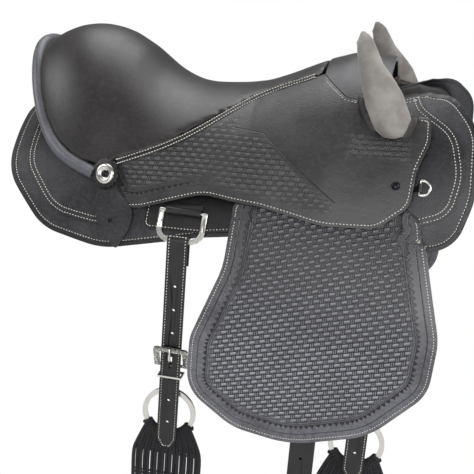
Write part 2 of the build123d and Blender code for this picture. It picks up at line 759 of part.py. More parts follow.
def drop_tab():
    """Leaf-shaped tab that hangs from the concho over the jockey and the skirts."""
    leaf = (((-152, -28), 8), ((-124, -28), 8), ((-114, -66), 30), ((-80, -92), 22), ((-83, -120), 22),
            ((-99, -153), 4), ((-126, -132), 20), ((-148, -100), 30), ((-148, -62), 20))
    under = seat_form(seat_gap) + side_form(bar_inner)
    over = seat_form(seat_gap + 4) + side_form(bar_inner + 4)
    tab = (over - under) & side_prism(*corners(leaf))
    hole = concho_plane(0).location * Pos(29, -72, 0) * Cylinder(4, 60)
    return tab - hole


def rosette():
    """Leather rosette with a pinked edge, under the concho."""
    teeth = 18
    radii = (rosette_radius, rosette_radius - 2.4)
    points = [(radii[step % 2] * cos(pi * step / teeth), radii[step % 2] * sin(pi * step / teeth))
              for step in range(2 * teeth)]
    return concho_plane(2.6).location * extrude(make_face(Polyline(*points, close=True)), 3)


def concho():
    """Round domed concho with a recessed middle."""
    rim = concho_radius
    profile = make_face(Polyline((0, 0), (rim, 0), (rim - 3, 3.4), (rim - 7, 3.8), (rim - 9, 1.6), (0, 1.6),
                                 close=True))
    return concho_plane(5.7).location * revolve(Plane.XZ * profile, Axis.Z)


def concho_screw():
    """Round-headed screw in the middle of the concho."""
    profile = make_face(Polyline((0, 1.6), (5.6, 1.6), (4.6, 3.6), (0, 4.6), close=True))
    return concho_plane(5.7).location * revolve(Plane.XZ * profile, Axis.Z)


def jockey_screw_plane():
    """Plane on the side jockey where the front screw goes through."""
    x, z = jockey_screw_x, jockey_screw_height
    return tangent_plane(x, seat_y(x, z), z, seat_lean(x, z))


def jockey_screw():
    """Domed screw through the side jockey into the skirt behind it."""
    radius = screw_head_radius
    head = make_face(Polyline((0, 0.4), (radius, 0.4), (radius - 1.6, 3.4), (0, 4.6), close=True))
    shank = Pos(0, 0, -15) * Cylinder(2.6, 31)
    return jockey_screw_plane().location * (revolve(Plane.XZ * head, Axis.Z) + shank) - side_form(bar_inner)


def pommel_stud():
    """Stud on the front of the fork."""
    profile = make_face(Polyline((0, 0), (5.5, 0), (4.4, 2.4), (0, 3.4), close=True))
    return Pos(278, stud_y, stud_height) * Rot(0, 90, 0) * revolve(Plane.XZ * profile, Axis.Z)


# Knee pad: centre, half width and half thickness of each section, from the foot to the tip
pad_sections = (
    ((308, -193, 60), 14, 8), ((302, -188, 80), 30, 15), ((283, -173, 114), 31, 16), ((256, -152, 158), 22, 13),
    ((241, -135, 194), 15, 9), ((235, -127, 209), 5, 4))


def pad_form(listed, widen, thicken_by, inward):
    """Leaf-shaped pad lofted through ellipses along its curved length."""
    faces = []
    for index, (point, half_width, half_thickness) in enumerate(listed):
        before = Vector(listed[max(index - 1, 0)][0])
        after = Vector(listed[min(index + 1, len(listed) - 1)][0])
        along = after - before
        plane = Plane(origin=Vector(point) + Vector(0, inward, 0), x_dir=along.cross(Vector(0, 1, 0)), z_dir=along)
        faces.append(plane * Ellipse(half_width + widen, half_thickness + thicken_by))
    return loft(faces, ruled=True)


def knee_pad():
    """Suede knee pad that stands off the fork."""
    return largest(pad_form(pad_sections, 0, 0, 0) - seat_form(seat_gap))


def knee_pad_gusset():
    """Pleated leather between the knee pad and the side jockey."""
    behind = pad_form(pad_sections[:5], 2, -1, 13)
    rest = behind - pad_form(pad_sections, 0, 0, 0) - seat_form(seat_gap)
    return largest(rest)


def breast_dee_plane():
    """Plane of the small front dee on the upper skirt."""
    x, z = breast_dee_x, breast_dee_height
    offset = bar_inner + breast_dee_wire + 2.4
    lean = side_lean(x, z, offset)
    return tangent_plane(x, side_y(x, z, offset), z, lean)


def breast_dee():
    """Small round-wire dee for a breastplate, with its straight bar at the back."""
    radius, half = breast_dee_radius - breast_dee_wire, breast_dee_radius
    section = RegularPolygon(breast_dee_wire, 6)
    bow = Wire([Line((0, half - 4), (4, half - 4)), ThreePointArc((4, half - 4), (4 + half - 4, 0), (4, 4 - half)),
                Line((4, 4 - half), (0, 4 - half))])
    ring = sweep(Plane(origin=bow @ 0, z_dir=bow % 0) * section, path=bow)
    bar = Rot(90, 0, 0) * Cylinder(breast_dee_wire - 0.3, 2 * radius - 2)
    return breast_dee_plane().location * (ring + bar)


def breast_dee_chape():
    """Short leather loop that holds the small dee, tucked under the side jockey."""
    inner = breast_dee_wire + running_gap - 0.3
    width = 13
    sleeve = Rot(90, 0, 0) * (Cylinder(inner + 2, width) - Cylinder(inner, width))
    leaf = block(-26, -1, -width / 2, width / 2, -inner - 2, -inner + 0.6)
    leaf = leaf - Rot(90, 0, 0) * Cylinder(inner, width + 2)
    return breast_dee_plane().location * (sleeve + leaf) - side_form(bar_inner)


def right_hand_pieces():
    """Pieces of the off side that have a mirror image on the near side."""
    return {
        "panel": panel(),
        "skirt": skirt(),
        "upper_skirt": upper_skirt(),
        "rigging_plate": rigging_plate(),
        "side_jockey": side_jockey() - jockey_screw_hole(),
        "knee_pad": knee_pad(),
        "knee_pad_gusset": knee_pad_gusset(),
        "drop_tab": drop_tab(),
        "rear_dee": rigging_dee(rear_dee_x),
        "front_dee": rigging_dee(front_dee_x),
        "breast_dee": breast_dee(),
        "fender_neck": Compound([fender_neck(), stirrup_hanger()]),
        "fender": fender(),
        "stirrup_leather": stirrup_leather(),
        "stirrup_iron": stirrup_iron(),
        "tread_pad": tread_pad(),
    }


def jockey_screw_hole():
    """Hole through the side jockey for its screw."""
    return jockey_screw_plane().location * Pos(0, 0, -6) * Cylinder(2.8, 16)


def right_hand_groups():
    """Small pieces of the off side that share one node with their mirror images."""
    return {
        "tree_bars": [tree_bar()],
        "stirrup_bars": [stirrup_bar()],
        "rosettes": [rosette()],
        "conchos": [concho()],
        "dee_chapes": [dee_chape(rear_dee_x), dee_chape(front_dee_x)],
        "breast_dee_chapes": [breast_dee_chape()],
        "screws": [concho_screw(), jockey_screw(), pommel_stud()],
    }


def centre_pieces():
    """Pieces that cross the centre plane."""
    return {
        "seat_cushion": seat_cushion(),
        "pommel_cover": pommel_cover(),
        "fork_arch": fork_arch(),
        "ground_seat": ground_seat(),
        "cantle_board": cantle_board(),
        "cantle_band": cantle_band(),
    }


def girth_pieces():
    """Straps and girth that hang on the off side, from the rear dee to the front dee."""
    slot = (-18, 3)
    frame, span = strap_frame().location, dee_distance()
    rear, front = frame, frame * Pos(span, 0, 0)
    return {
        "rear_billet_right": rear * billet(rear_dee_x, billet_end, slot),
        "front_billet_right": front * billet(front_dee_x, billet_end, slot),
        "rear_buckle": rear * buckle(),
        "front_buckle": front * buckle(),
        "rear_tongue": rear * tongue(),
        "front_tongue": front * tongue(),
        "keepers": Compound([rear * keeper(), front * keeper()]),
        "girth_chapes": Compound([rear * girth_chape(), front * girth_chape()]),
        "girth_rings": Compound([frame * girth_ring(0), frame * girth_ring(span)]),
        "girth": frame * girth(),
        "rear_billet_left": other_side(rear * billet(rear_dee_x, near_billet_end)),
        "front_billet_left": other_side(front * billet(front_dee_x, near_billet_end)),
    }


def main():
    """Build every piece and write one file for each node."""
    pieces = {}
    for name, shape in right_hand_pieces().items():
        pieces[name + "_right"] = shape
        pieces[name + "_left"] = other_side(shape)
    for name, shapes in right_hand_groups().items():
        pieces[name] = Compound(shapes + [other_side(shape) for shape in shapes])
    pieces.update(centre_pieces())
    pieces.update(girth_pieces())
    os.makedirs("parts", exist_ok=True)
    for name, shape in pieces.items():
        export_step(shape, "parts/" + name + ".step")
    print(len(pieces), "nodes")


main()
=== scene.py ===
"""Looks of an Australian stock saddle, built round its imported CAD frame.

The frame gives every size and place.  Leather layers are smooth copies of their solids with thread
along them, soft pieces are remeshed and filled, and the girth is strung cord by cord.
"""
from __future__ import annotations

import json
import logging
import math
from collections.abc import Callable
from dataclasses import dataclass, field
from enum import Enum

import bmesh
import bpy
from mathutils import Matrix, Vector
from mathutils.bvhtree import BVHTree
from mathutils.kdtree import KDTree

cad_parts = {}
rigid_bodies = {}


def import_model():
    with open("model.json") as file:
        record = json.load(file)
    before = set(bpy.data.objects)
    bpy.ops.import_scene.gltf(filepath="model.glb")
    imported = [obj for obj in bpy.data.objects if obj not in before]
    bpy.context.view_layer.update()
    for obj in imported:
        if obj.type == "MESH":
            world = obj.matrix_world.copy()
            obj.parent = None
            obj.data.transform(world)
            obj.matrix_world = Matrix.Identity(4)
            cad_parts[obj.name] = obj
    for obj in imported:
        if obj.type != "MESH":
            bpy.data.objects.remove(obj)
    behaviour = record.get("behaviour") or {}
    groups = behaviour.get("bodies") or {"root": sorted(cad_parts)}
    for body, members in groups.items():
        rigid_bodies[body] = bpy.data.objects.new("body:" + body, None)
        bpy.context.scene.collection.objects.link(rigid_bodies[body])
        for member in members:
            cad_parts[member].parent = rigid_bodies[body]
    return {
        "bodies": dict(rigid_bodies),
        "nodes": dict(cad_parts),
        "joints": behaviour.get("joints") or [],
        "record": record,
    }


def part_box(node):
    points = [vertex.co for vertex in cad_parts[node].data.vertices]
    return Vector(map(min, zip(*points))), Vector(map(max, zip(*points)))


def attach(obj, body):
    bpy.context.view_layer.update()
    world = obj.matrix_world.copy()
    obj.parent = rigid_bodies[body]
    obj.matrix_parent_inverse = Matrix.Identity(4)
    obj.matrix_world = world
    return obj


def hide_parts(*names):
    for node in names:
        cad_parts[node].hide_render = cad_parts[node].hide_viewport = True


LOG = logging.getLogger("saddle")
MM = 0.001
WELD = 0.00002
ON_PLANE = 1e-6
DIAGONAL_BEND = 105
DIAGONAL_FALL = 0.61
Place = tuple[Vector, Vector, Vector]


class Side(Enum):
    """Side of the saddle, with the sign of its Y."""

    RIGHT = -1
    LEFT = 1

    @property
    def tag(self) -> str:
        """Ending of this side's node names."""
        return self.name.lower()


class Term:
    """A shader socket or number whose operators add Math nodes."""

    def __init__(self, shader: Shader, source: object) -> None:
        """Keep the shader and what this term stands for."""
        self.shader = shader
        self.source = source

    def _with(self, operation: str, *others: object) -> Term:
        """Term for an operation on this term and others."""
        return self.shader.maths(operation, self, *others)

    def __add__(self, other: object) -> Term:
        """Sum."""
        return self._with("ADD", other)

    __radd__ = __add__

    def __sub__(self, other: object) -> Term:
        """Difference."""
        return self._with("SUBTRACT", other)

    def __rsub__(self, other: object) -> Term:
        """Difference from a number."""
        return self.shader.maths("SUBTRACT", other, self)

    def __mul__(self, other: object) -> Term:
        """Product."""
        return self._with("MULTIPLY", other)

    __rmul__ = __mul__

    def __truediv__(self, other: object) -> Term:
        """Quotient."""
        return self._with("DIVIDE", other)

    def __abs__(self) -> Term:
        """Value without its sign."""
        return self._with("ABSOLUTE")

    def floor(self) -> Term:
        """Whole part."""
        return self._with("FLOOR")

    def fract(self) -> Term:
        """Part after the whole."""
        return self._with("FRACT")

    def sine(self) -> Term:
        """Sine."""
        return self._with("SINE")

    def at_least(self, other: object) -> Term:
        """Larger of two."""
        return self._with("MAXIMUM", other)

    def ramp(self, low: float, high: float) -> Term:
        """Smooth step from 0 at low to 1 at high."""
        node = self.shader.node("ShaderNodeMapRange", {"interpolation_type": "SMOOTHSTEP"},
                                {"Value": self, "From Min": low, "From Max": high})
        return Term(self.shader, node.outputs["Result"])

    def band(self, middle: float, half: float) -> Term:
        """1 at the middle, falling to 0 at half a band to either side."""
        return 1 - abs(self - middle).ramp(0.0, half)

    def ridge(self, start: float, end: float, ease: float) -> Term:
        """1 from a start to an end, eased inside both."""
        return self.ramp(start, start + ease) * (1 - self.ramp(end - ease, end))


class Shader:
    """Node tree of one material."""

    def __init__(self, name: str) -> None:
        """Start an empty material with a Principled shader."""
        self.material = bpy.data.materials.new(name)
        self.material.use_nodes = True
        self.tree = self.material.node_tree
        self.surface = self.tree.nodes["Principled BSDF"]

    def node(self, kind: str, settings: dict | None = None, inputs: dict | None = None) -> bpy.types.Node:
        """Add a node.

        Args:
            kind: Blender's name of the node's type.
            settings: its properties, set first.
            inputs: values or links of its sockets.

        Returns:
            The new node.
        """
        made = self.tree.nodes.new(kind)
        for key, value in (settings or {}).items():
            setattr(made, key, value)
        for key, value in (inputs or {}).items():
            self.feed(made.inputs[key], value)
        return made

    def feed(self, socket: bpy.types.NodeSocket, value: object) -> None:
        """Link or set one socket."""
        value = value.source if isinstance(value, Term) else value
        if isinstance(value, bpy.types.NodeSocket):
            self.tree.links.new(value, socket)
        else:
            socket.default_value = value

    def maths(self, operation: str, *terms: object) -> Term:
        """Term of a Math node."""
        made = self.node("ShaderNodeMath", {"operation": operation}, dict(enumerate(terms)))
        return Term(self, made.outputs[0])

    def place(self) -> tuple[Term, Term, Term]:
        """Object coordinates in millimetres."""
        coordinates = self.node("ShaderNodeTexCoord").outputs["Object"]
        split = self.node("ShaderNodeSeparateXYZ", inputs={0: coordinates})
        return tuple(Term(self, split.outputs[axis]) * 1000.0 for axis in range(3))

    def attribute(self, name: str) -> Term:
        """A number stored on the piece's points."""
        return Term(self, self.node("ShaderNodeAttribute", {"attribute_name": name}).outputs["Fac"])

    def noise(self, size: float, detail: float = 3.0, stretch: tuple = (1, 1, 1)) -> Term:
        """Noise whose features are about a size in millimetres."""
        coordinates = self.node("ShaderNodeTexCoord").outputs["Object"]
        mapping = self.node("ShaderNodeMapping", inputs={"Vector": coordinates, "Scale": stretch})
        made = self.node("ShaderNodeTexNoise", inputs={
            "Vector": mapping.outputs[0], "Scale": 1000.0 / size, "Detail": detail})
        return Term(self, made.outputs["Fac"])

    def cells(self, size: float, feature: str = "F1") -> Term:
        """Distance within cells of about a size in millimetres."""
        coordinates = self.node("ShaderNodeTexCoord").outputs["Object"]
        made = self.node("ShaderNodeTexVoronoi", {"feature": feature},
                         {"Vector": coordinates, "Scale": 1000.0 / size})
        return Term(self, made.outputs["Distance"])

    def blend(self, share: object, low: tuple, high: tuple) -> Term:
        """Colour between two, by a share."""
        made = self.node("ShaderNodeMix", {"data_type": "RGBA"})
        self.feed(made.inputs[0], share)
        self.feed(made.inputs[6], (*low, 1.0))
        self.feed(made.inputs[7], (*high, 1.0))
        return Term(self, made.outputs[2])

    def relief(self, height: Term, depth: float, edge: float = 0.0) -> None:
        """Raise the surface by a height times a depth in millimetres, with edges eased by a radius."""
        inputs = {"Height": height, "Distance": depth * MM, "Strength": 1.0}
        if edge:
            inputs["Normal"] = self.node("ShaderNodeBevel", {"samples": 4}, {"Radius": edge * MM}).outputs[0]
        self.feed(self.surface.inputs["Normal"], self.node("ShaderNodeBump", inputs=inputs).outputs[0])

    def set(self, **values: object) -> None:
        """Feed sockets of the Principled shader, with underscores for spaces."""
        for key, value in values.items():
            self.feed(self.surface.inputs[key.replace("_", " ")], value)


@dataclass(frozen=True)
class Leather:
    """Dyed leather with grain, soft creases and lighter patches at random; stamped leather also has painted
    highlights on its bars and painted shade in its grooves, creases and towards the top.

    Lengths are in millimetres.  A row and a tile give the basket stamping's size, and its turn is in
    degrees.  Creases lie that far inside the rim, and the row of triangles stands on the inner one.
    """

    name: str
    dark: tuple = (0.0140, 0.0142, 0.0162)
    light: tuple = (0.034, 0.035, 0.041)
    roughness: float = 0.42
    grain: float = 1.5
    crease: float = 0.35
    depth: float = 0.5
    shine: float = 0.45
    stamp: bool = False
    # share of painted shade that darkens stamped leather towards the top
    shade: float = 0.0
    bound: float = 0.0
    row: float = 7.0
    tile: float = 16.4
    turn: float = 4.0
    creases: tuple = (15.0, 30.0)
    tooth: tuple = (9.6, 6.0)
    line: float = 0.0

    def stamping(self, shader: Shader) -> Term:
        """Height of basket stamping: a long bar and two ribs in turn, half a tile on in the next row.

        Args:
            shader: the material's shader.

        Returns:
            A height from 0 to 1, masked to the stamped ground.
        """
        x, _, z = shader.place()
        turn = math.radians(self.turn)
        level = (z * math.cos(turn) - x * math.sin(turn)) / self.row
        up = level.fract()
        tiles = (x * math.cos(turn) + z * math.sin(turn)) / self.tile
        across = (tiles + level.floor() * 0.5 - up * 0.10).fract()
        bar = across.ridge(0.0, 0.64, 0.09) * up.ramp(0.04, 0.62) * (1 - up.ramp(0.80, 0.96))
        ribs = across.ridge(0.66, 0.80, 0.05) + across.ridge(0.83, 0.97, 0.05)
        return (bar + ribs * up.ridge(0.0, 1.0, 0.15) * 0.7) * shader.attribute("stamp")

    def border(self, shader: Shader) -> Term:
        """Creased lines and a row of small triangles that run along the rim."""
        edge = shader.attribute("edge") * 1000.0
        along = shader.attribute("along") * 1000.0
        outer, inner = self.creases
        pitch, height = self.tooth
        half_line, line_gap, foot_gap = 1.1, 3.4, 2.5
        creases = edge.band(outer, 1.2) + edge.band(inner, half_line) + edge.band(inner + line_gap, half_line)
        teeth = abs((along / pitch).fract() - 0.5) * 2.0
        foot = inner - foot_gap
        triangle = (edge - foot + teeth * height).ramp(-0.5, 0.5) * (1 - edge.ramp(foot, foot + 0.8))
        return (creases * 0.8 + triangle) * shader.attribute("rich")

    def diagonal(self, shader: Shader) -> Term:
        """Creased line above the jockey's second patch of stamping."""
        x, _, z = shader.place()
        line = 40 - (x - DIAGONAL_BEND).at_least(0) * DIAGONAL_FALL
        return (z - line).band(2.0, 1.1) * x.ramp(44, 60) * (1 - x.ramp(230, 236))

    def tooled(self, shader: Shader, height: Term, light: Term) -> tuple[Term, Term]:
        """Add stamping, border and creased lines.

        Args:
            shader: the material's shader.
            height: the plain leather's height.
            light: the plain leather's share of the light colour.

        Returns:
            Height and share with the tooling: paler on the bars as painted highlight, darker in the grooves,
                creases and triangles as painted shade, and darker up under the saddle as painted shade.
        """
        raised = self.stamping(shader)
        ground = shader.attribute("stamp")
        lines = self.border(shader) + self.diagonal(shader) * self.line
        # painted shade: the stamped ground's grooves and the creased lines and triangles take a darker share
        plain = (light * 0.35 + 0.17) * (1 - ground) * (1 - lines).at_least(0)
        _, _, z = shader.place()
        # painted highlight on the raised bars, and painted shade that darkens the leather towards the top by
        # the shade amount
        share = (plain + raised * (light * 0.3 + 0.75)) * (1 - z.ramp(-330, -90) * self.shade)
        return height + raised * 3.4 - lines * 1.8, share

    def build(self) -> bpy.types.Material:
        """Make the material."""
        shader = Shader(self.name)
        broad = shader.noise(60.0, 4.0)
        pores = shader.cells(self.grain * 1.6)
        folds = shader.noise(7.0, 5.0, (1.0, 1.0, 1.5))
        height = pores * 0.35 + folds * self.crease
        light = broad.ramp(0.30, 0.75) * 0.6 + folds.ramp(0.4, 0.8) * 0.4
        if self.stamp:
            height, light = self.tooled(shader, height, light)
        if self.bound:
            edge = shader.attribute("edge") * 1000.0
            inner = edge.ramp(self.bound - 0.8, self.bound)
            height = height * inner - edge.band(self.bound, 1.0) * 1.6
            light = light * inner
        shader.set(Base_Color=shader.blend(light, self.dark, self.light),
                   Roughness=self.roughness + (folds - 0.5) * 0.25, Specular_IOR_Level=self.shine)
        shader.relief(height, self.depth, edge=1.0)
        return shader.material


@dataclass(frozen=True)
class Suede:
    """Napped suede with brushed patches."""

    name: str
    dark: tuple = (0.195, 0.180, 0.166)
    light: tuple = (0.350, 0.330, 0.308)

    def build(self) -> bpy.types.Material:
        """Make the material."""
        shader = Shader(self.name)
        patches = shader.noise(26.0, 5.0)
        nap = shader.noise(1.6, 2.0)
        shader.set(Base_Color=shader.blend(patches.ramp(0.32, 0.72) * 0.8 + nap * 0.2, self.dark, self.light),
                   Roughness=0.9, Sheen_Weight=0.35, Sheen_Roughness=0.5)
        shader.relief(nap * 0.5 + patches, 0.6)
        return shader.material


@dataclass(frozen=True)
class Metal:
    """Plated or bare metal with small scratches, engraved if asked."""

    name: str
    colour: tuple = (0.74, 0.72, 0.68)
    roughness: float = 0.22
    engraved: bool = False

    def build(self) -> bpy.types.Material:
        """Make the material."""
        shader = Shader(self.name)
        scratches = shader.noise(2.4, 6.0, (1.0, 1.0, 6.0))
        smudges = shader.noise(14.0, 3.0)
        height, share, dull = scratches * 0.06, smudges, 0.72
        if self.engraved:
            share, dull = (shader.cells(6.5, "SMOOTH_F1") * 26.0).sine().ramp(0.0, 0.9), 0.35
            height = height + share
        shade = tuple(value * dull for value in self.colour)
        shader.set(Base_Color=shader.blend(share, shade, self.colour), Metallic=1.0,
                   Roughness=self.roughness + scratches * 0.12)
        shader.relief(height, 0.4, edge=0.7)
        return shader.material


@dataclass(frozen=True)
class Fibre:
    """Twisted thread, cotton string, wool or felt."""

    name: str
    dark: tuple
    light: tuple
    size: float = 1.2
    depth: float = 0.4

    def build(self) -> bpy.types.Material:
        """Make the material."""
        shader = Shader(self.name)
        tufts = shader.noise(self.size, 4.0)
        broad = shader.noise(self.size * 14, 3.0)
        shader.set(Base_Color=shader.blend(tufts * 0.6 + broad * 0.4, self.dark, self.light), Roughness=0.88)
        shader.relief(tufts, self.depth)
        return shader.material


@dataclass(frozen=True)
class Wood:
    """Dark lacquered tree wood."""

    name: str

    def build(self) -> bpy.types.Material:
        """Make the material."""
        shader = Shader(self.name)
        rings = (shader.noise(30.0, 3.0, (0.15, 1.0, 1.0)) * 40.0).sine()
        lacquer = shader.blend(rings.ramp(-1.0, 1.0), (0.020, 0.012, 0.008), (0.045, 0.028, 0.017))
        shader.set(Base_Color=lacquer, Roughness=0.5)
        shader.relief(rings, 0.15, edge=1.0)
        return shader.material


class Finish(Enum):
    """Every finish on the saddle."""

    LAYER = Leather("layer_leather", light=(0.044, 0.045, 0.052), crease=0.5)
    SKIRT = Leather("skirt_leather", dark=(0.018, 0.018, 0.021), light=(0.062, 0.063, 0.071), crease=0.6,
                    bound=7.5)
    # Jockey colours: the paler light is painted highlight on the stamped bars and the near-black dark is
    # painted shade in the grooves.
    JOCKEY = Leather("jockey_leather", dark=(0.008, 0.0075, 0.0075), light=(0.105, 0.100, 0.106), stamp=True,
                     creases=(17.0, 27.5), line=1.0, crease=0.25, roughness=0.40)
    # Fender colours: the pale blue-grey light is painted sheen on the stamped bars, the near-black dark is
    # painted shade in the grooves, and shade is painted shade towards the top.
    FENDER = Leather("fender_leather", dark=(0.003, 0.003, 0.004), light=(0.450, 0.457, 0.520), stamp=True,
                     creases=(14.5, 31.5), crease=0.15, roughness=0.30, turn=16.0, shine=0.55, shade=0.72)
    SEAT = Leather("seat_leather", dark=(0.017, 0.0150, 0.0150), light=(0.034, 0.030, 0.030),
                   roughness=0.40, grain=0.8, crease=0.25, depth=0.35, shine=0.5)
    # Roll colours, paler and bluer than the other black leathers, are painted sheen on black leather.
    ROLL = Leather("roll_leather", dark=(0.080, 0.082, 0.092), light=(0.165, 0.169, 0.190), roughness=0.38,
                   crease=0.2)
    STRAP = Leather("strap_leather", dark=(0.008, 0.008, 0.009), light=(0.020, 0.019, 0.019), crease=0.15)
    PLEATS = Leather("pleated_leather", dark=(0.018, 0.016, 0.015), light=(0.062, 0.056, 0.052), crease=1.4)
    SUEDE = Suede("knee_suede")
    NICKEL = Metal("bright_nickel")
    ENGRAVED = Metal("engraved_nickel", colour=(0.66, 0.65, 0.62), roughness=0.3, engraved=True)
    BLACK_STEEL = Metal("black_steel", colour=(0.03, 0.03, 0.035), roughness=0.3)
    STEEL = Metal("satin_steel", colour=(0.55, 0.55, 0.56), roughness=0.35)
    THREAD = Fibre("cream_thread", (0.62, 0.59, 0.52), (0.86, 0.84, 0.77), 0.8, 0.2)
    STRING = Fibre("black_string", (0.006, 0.006, 0.008), (0.030, 0.030, 0.034), 1.0, 0.5)
    WOOL = Fibre("panel_wool", (0.020, 0.019, 0.019), (0.060, 0.056, 0.054), 3.0, 1.2)
    FELT = Fibre("seat_felt", (0.20, 0.17, 0.13), (0.34, 0.30, 0.24), 3.0, 0.8)
    RUBBER = Fibre("tread_rubber", (0.012, 0.012, 0.013), (0.028, 0.028, 0.030), 2.0, 0.1)
    WOOD = Wood("tree_wood")


class Stock:
    """Frame, bodies and materials that every sub-assembly draws on."""

    def __init__(self) -> None:
        """Load the frame and note which body each node rides on."""
        self.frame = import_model()
        self.body_of = {node: body for body, nodes in self.frame["record"]["behaviour"]["bodies"].items()
                        for node in nodes}
        self.slot_of = {part["node"]: part["material_slot"] for part in self.frame["record"]["subparts"]}
        self.materials: dict[Finish, bpy.types.Material] = {}

    def material(self, finish: Finish) -> bpy.types.Material:
        """Material of a finish, made once."""
        if finish not in self.materials:
            self.materials[finish] = finish.value.build()
        return self.materials[finish]

    def merged(self, node: str) -> bmesh.types.BMesh:
        """Closed copy of a node's mesh."""
        shape = bmesh.new()
        shape.from_mesh(self.frame["nodes"][node].data)
        bmesh.ops.remove_doubles(shape, verts=shape.verts, dist=WELD)
        return shape

    def piece(self, name: str, shape: bmesh.types.BMesh, finish: Finish, node: str, replace: bool = True,
              crease: float = 32.0) -> bpy.types.Object:
        """Turn a bmesh into a piece that rides with a node.

        Args:
            name: the piece's name.
            shape: its mesh, freed here.
            finish: its finish.
            node: the CAD node it rides with.
            replace: whether it stands for that node.
            crease: angle in degrees past which an edge stays sharp.

        Returns:
            The piece.
        """
        mesh = bpy.data.meshes.new(name)
        shape.to_mesh(mesh)
        shape.free()
        mesh.materials.append(self.material(finish))
        for polygon in mesh.polygons:
            polygon.use_smooth = True
        mesh.set_sharp_from_angle(angle=math.radians(crease))
        made = bpy.data.objects.new(name, mesh)
        bpy.context.scene.collection.objects.link(made)
        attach(made, self.body_of[node])
        if replace:
            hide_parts(node)
        LOG.info("%s: %d faces on %s", name, len(mesh.polygons), self.body_of[node])
        return made

    def dress(self, node: str, finish: Finish) -> bpy.types.Object:
        """Smooth copy of a node, in a finish."""
        return self.piece(node + "_dressed", self.merged(node), finish, node)


def along_loop(points: list[Vector], step: float, closed: bool = True) -> list[Vector]:
    """Points spaced evenly along a line.

    Args:
        points: corners of the line.
        step: spacing in metres.
        closed: whether the last point joins the first.

    Returns:
        Evenly spaced points.
    """
    ends = points[1:] + points[:1] if closed else points[1:]
    pairs = [(a, b, (b - a).length) for a, b in zip(points, ends)]
    total = sum(length for _, _, length in pairs)
    count = max(int(total / step), 2)
    spots, walked, goal = [], 0.0, 0.0
    for a, b, length in pairs:
        while goal <= walked + length and len(spots) < count and length > 0:
            spots.append(a.lerp(b, (goal - walked) / length))
            goal += total / count
        walked += length
    return spots


def smooth_line(points: list[Vector], parts: int = 8) -> list[Vector]:
    """Smooth open curve through points."""
    line = []
    for index in range(len(points) - 1):
        a, b = points[max(index - 1, 0)], points[index]
        c, d = points[index + 1], points[min(index + 2, len(points) - 1)]
        for part in range(parts):
            t = part / parts
            line.append(0.5 * ((2 * b) + (c - a) * t + (2 * a - 5 * b + 4 * c - d) * t * t
                               + (3 * b - a - 3 * c + d) * t ** 3))
    return line + [points[-1]]


def line_length(line: list[Vector]) -> float:
    """Length of a line of points."""
    return sum((b - a).length for a, b in zip(line, line[1:]))


def eased(values: list[Vector]) -> list[Vector]:
    """Values averaged with their neighbours along the line."""
    last, reach = len(values) - 1, 5
    return [sum((values[min(max(index + shift, 0), last)] for shift in range(-reach, reach + 1)), Vector())
            / (2 * reach + 1) for index in range(last + 1)]


class Skin:
    """Outward face of one leather layer, with its rim."""

    lean = 0.55
    bend = math.radians(38)
    least_outward = 0.03

    def __init__(self, shape: bmesh.types.BMesh, side: Side) -> None:
        """Find the face by flooding over edges that bend little, from its largest outward facet.

        Walls of an outline run straight across the saddle, so a facet with no outward part is a wall.
        """
        outward = Vector((0, side.value, self.lean))
        shape.normal_update()
        shape.faces.index_update()
        start = max(shape.faces, key=lambda face: face.calc_area() * max(face.normal.dot(outward), 0))
        inside, stack = {start}, [start]
        while stack:
            for edge in stack.pop().edges:
                for face in edge.link_faces:
                    smooth = edge.calc_face_angle(math.pi) < self.bend
                    if face not in inside and smooth and face.normal.y * side.value > self.least_outward:
                        inside.add(face)
                        stack.append(face)
        corners = [vert.co.copy() for vert in shape.verts]
        shape.verts.index_update()
        found = sorted(inside, key=lambda face: face.index)
        self.tree = BVHTree.FromPolygons(corners, [[vert.index for vert in face.verts] for face in found])
        self.rim = self._longest_loop(found)

    @staticmethod
    def _longest_loop(faces: list[bmesh.types.BMFace]) -> list[Vector]:
        """Longest closed line of edges round some faces."""
        inside = set(faces)
        rim = {edge: edge.verts for face in faces for edge in face.edges
               if sum(other in inside for other in edge.link_faces) == 1}
        best: list[Vector] = []
        while rim:
            start, tip = rim.pop(next(iter(rim)))
            line = [start.co.copy()]
            while True:
                line.append(tip.co.copy())
                following = next((other for other in tip.link_edges if other in rim), None)
                if following is None:
                    break
                rim.pop(following)
                tip = following.other_vert(tip)
            best = max(best, line, key=line_length)
        return best[:-1] if (best[0] - best[-1]).length < ON_PLANE else best

    def inset(self, distance: float, step: float, kept: Callable[[Vector], bool]) -> list[Place]:
        """Places along a line inside the rim.

        Args:
            distance: how far inside, in metres.
            step: spacing in metres.
            kept: test of a place on the rim, for where only part of the line is wanted.

        Returns:
            Point, direction and normal at each place.
        """
        spots = along_loop(self.rim, step)
        moved = []
        for index, spot in enumerate(spots):
            run = (spots[(index + 1) % len(spots)] - spots[index - 1]).normalized()
            normal = self.tree.find_nearest(spot)[1]
            inward = normal.cross(run)
            goals = [spot + inward * distance, spot - inward * distance]
            hits = [(goal, self.tree.find_nearest(goal)) for goal in goals]
            moved.append(min(hits, key=lambda hit: (hit[1][0] - hit[0]).length)[1][:2])
        places = []
        for index, (spot, normal) in enumerate(moved):
            run = moved[(index + 1) % len(moved)][0] - moved[index - 1][0]
            if run.length > step * 0.6 and kept(spots[index]):
                places.append((spot, run.normalized(), normal))
        return places


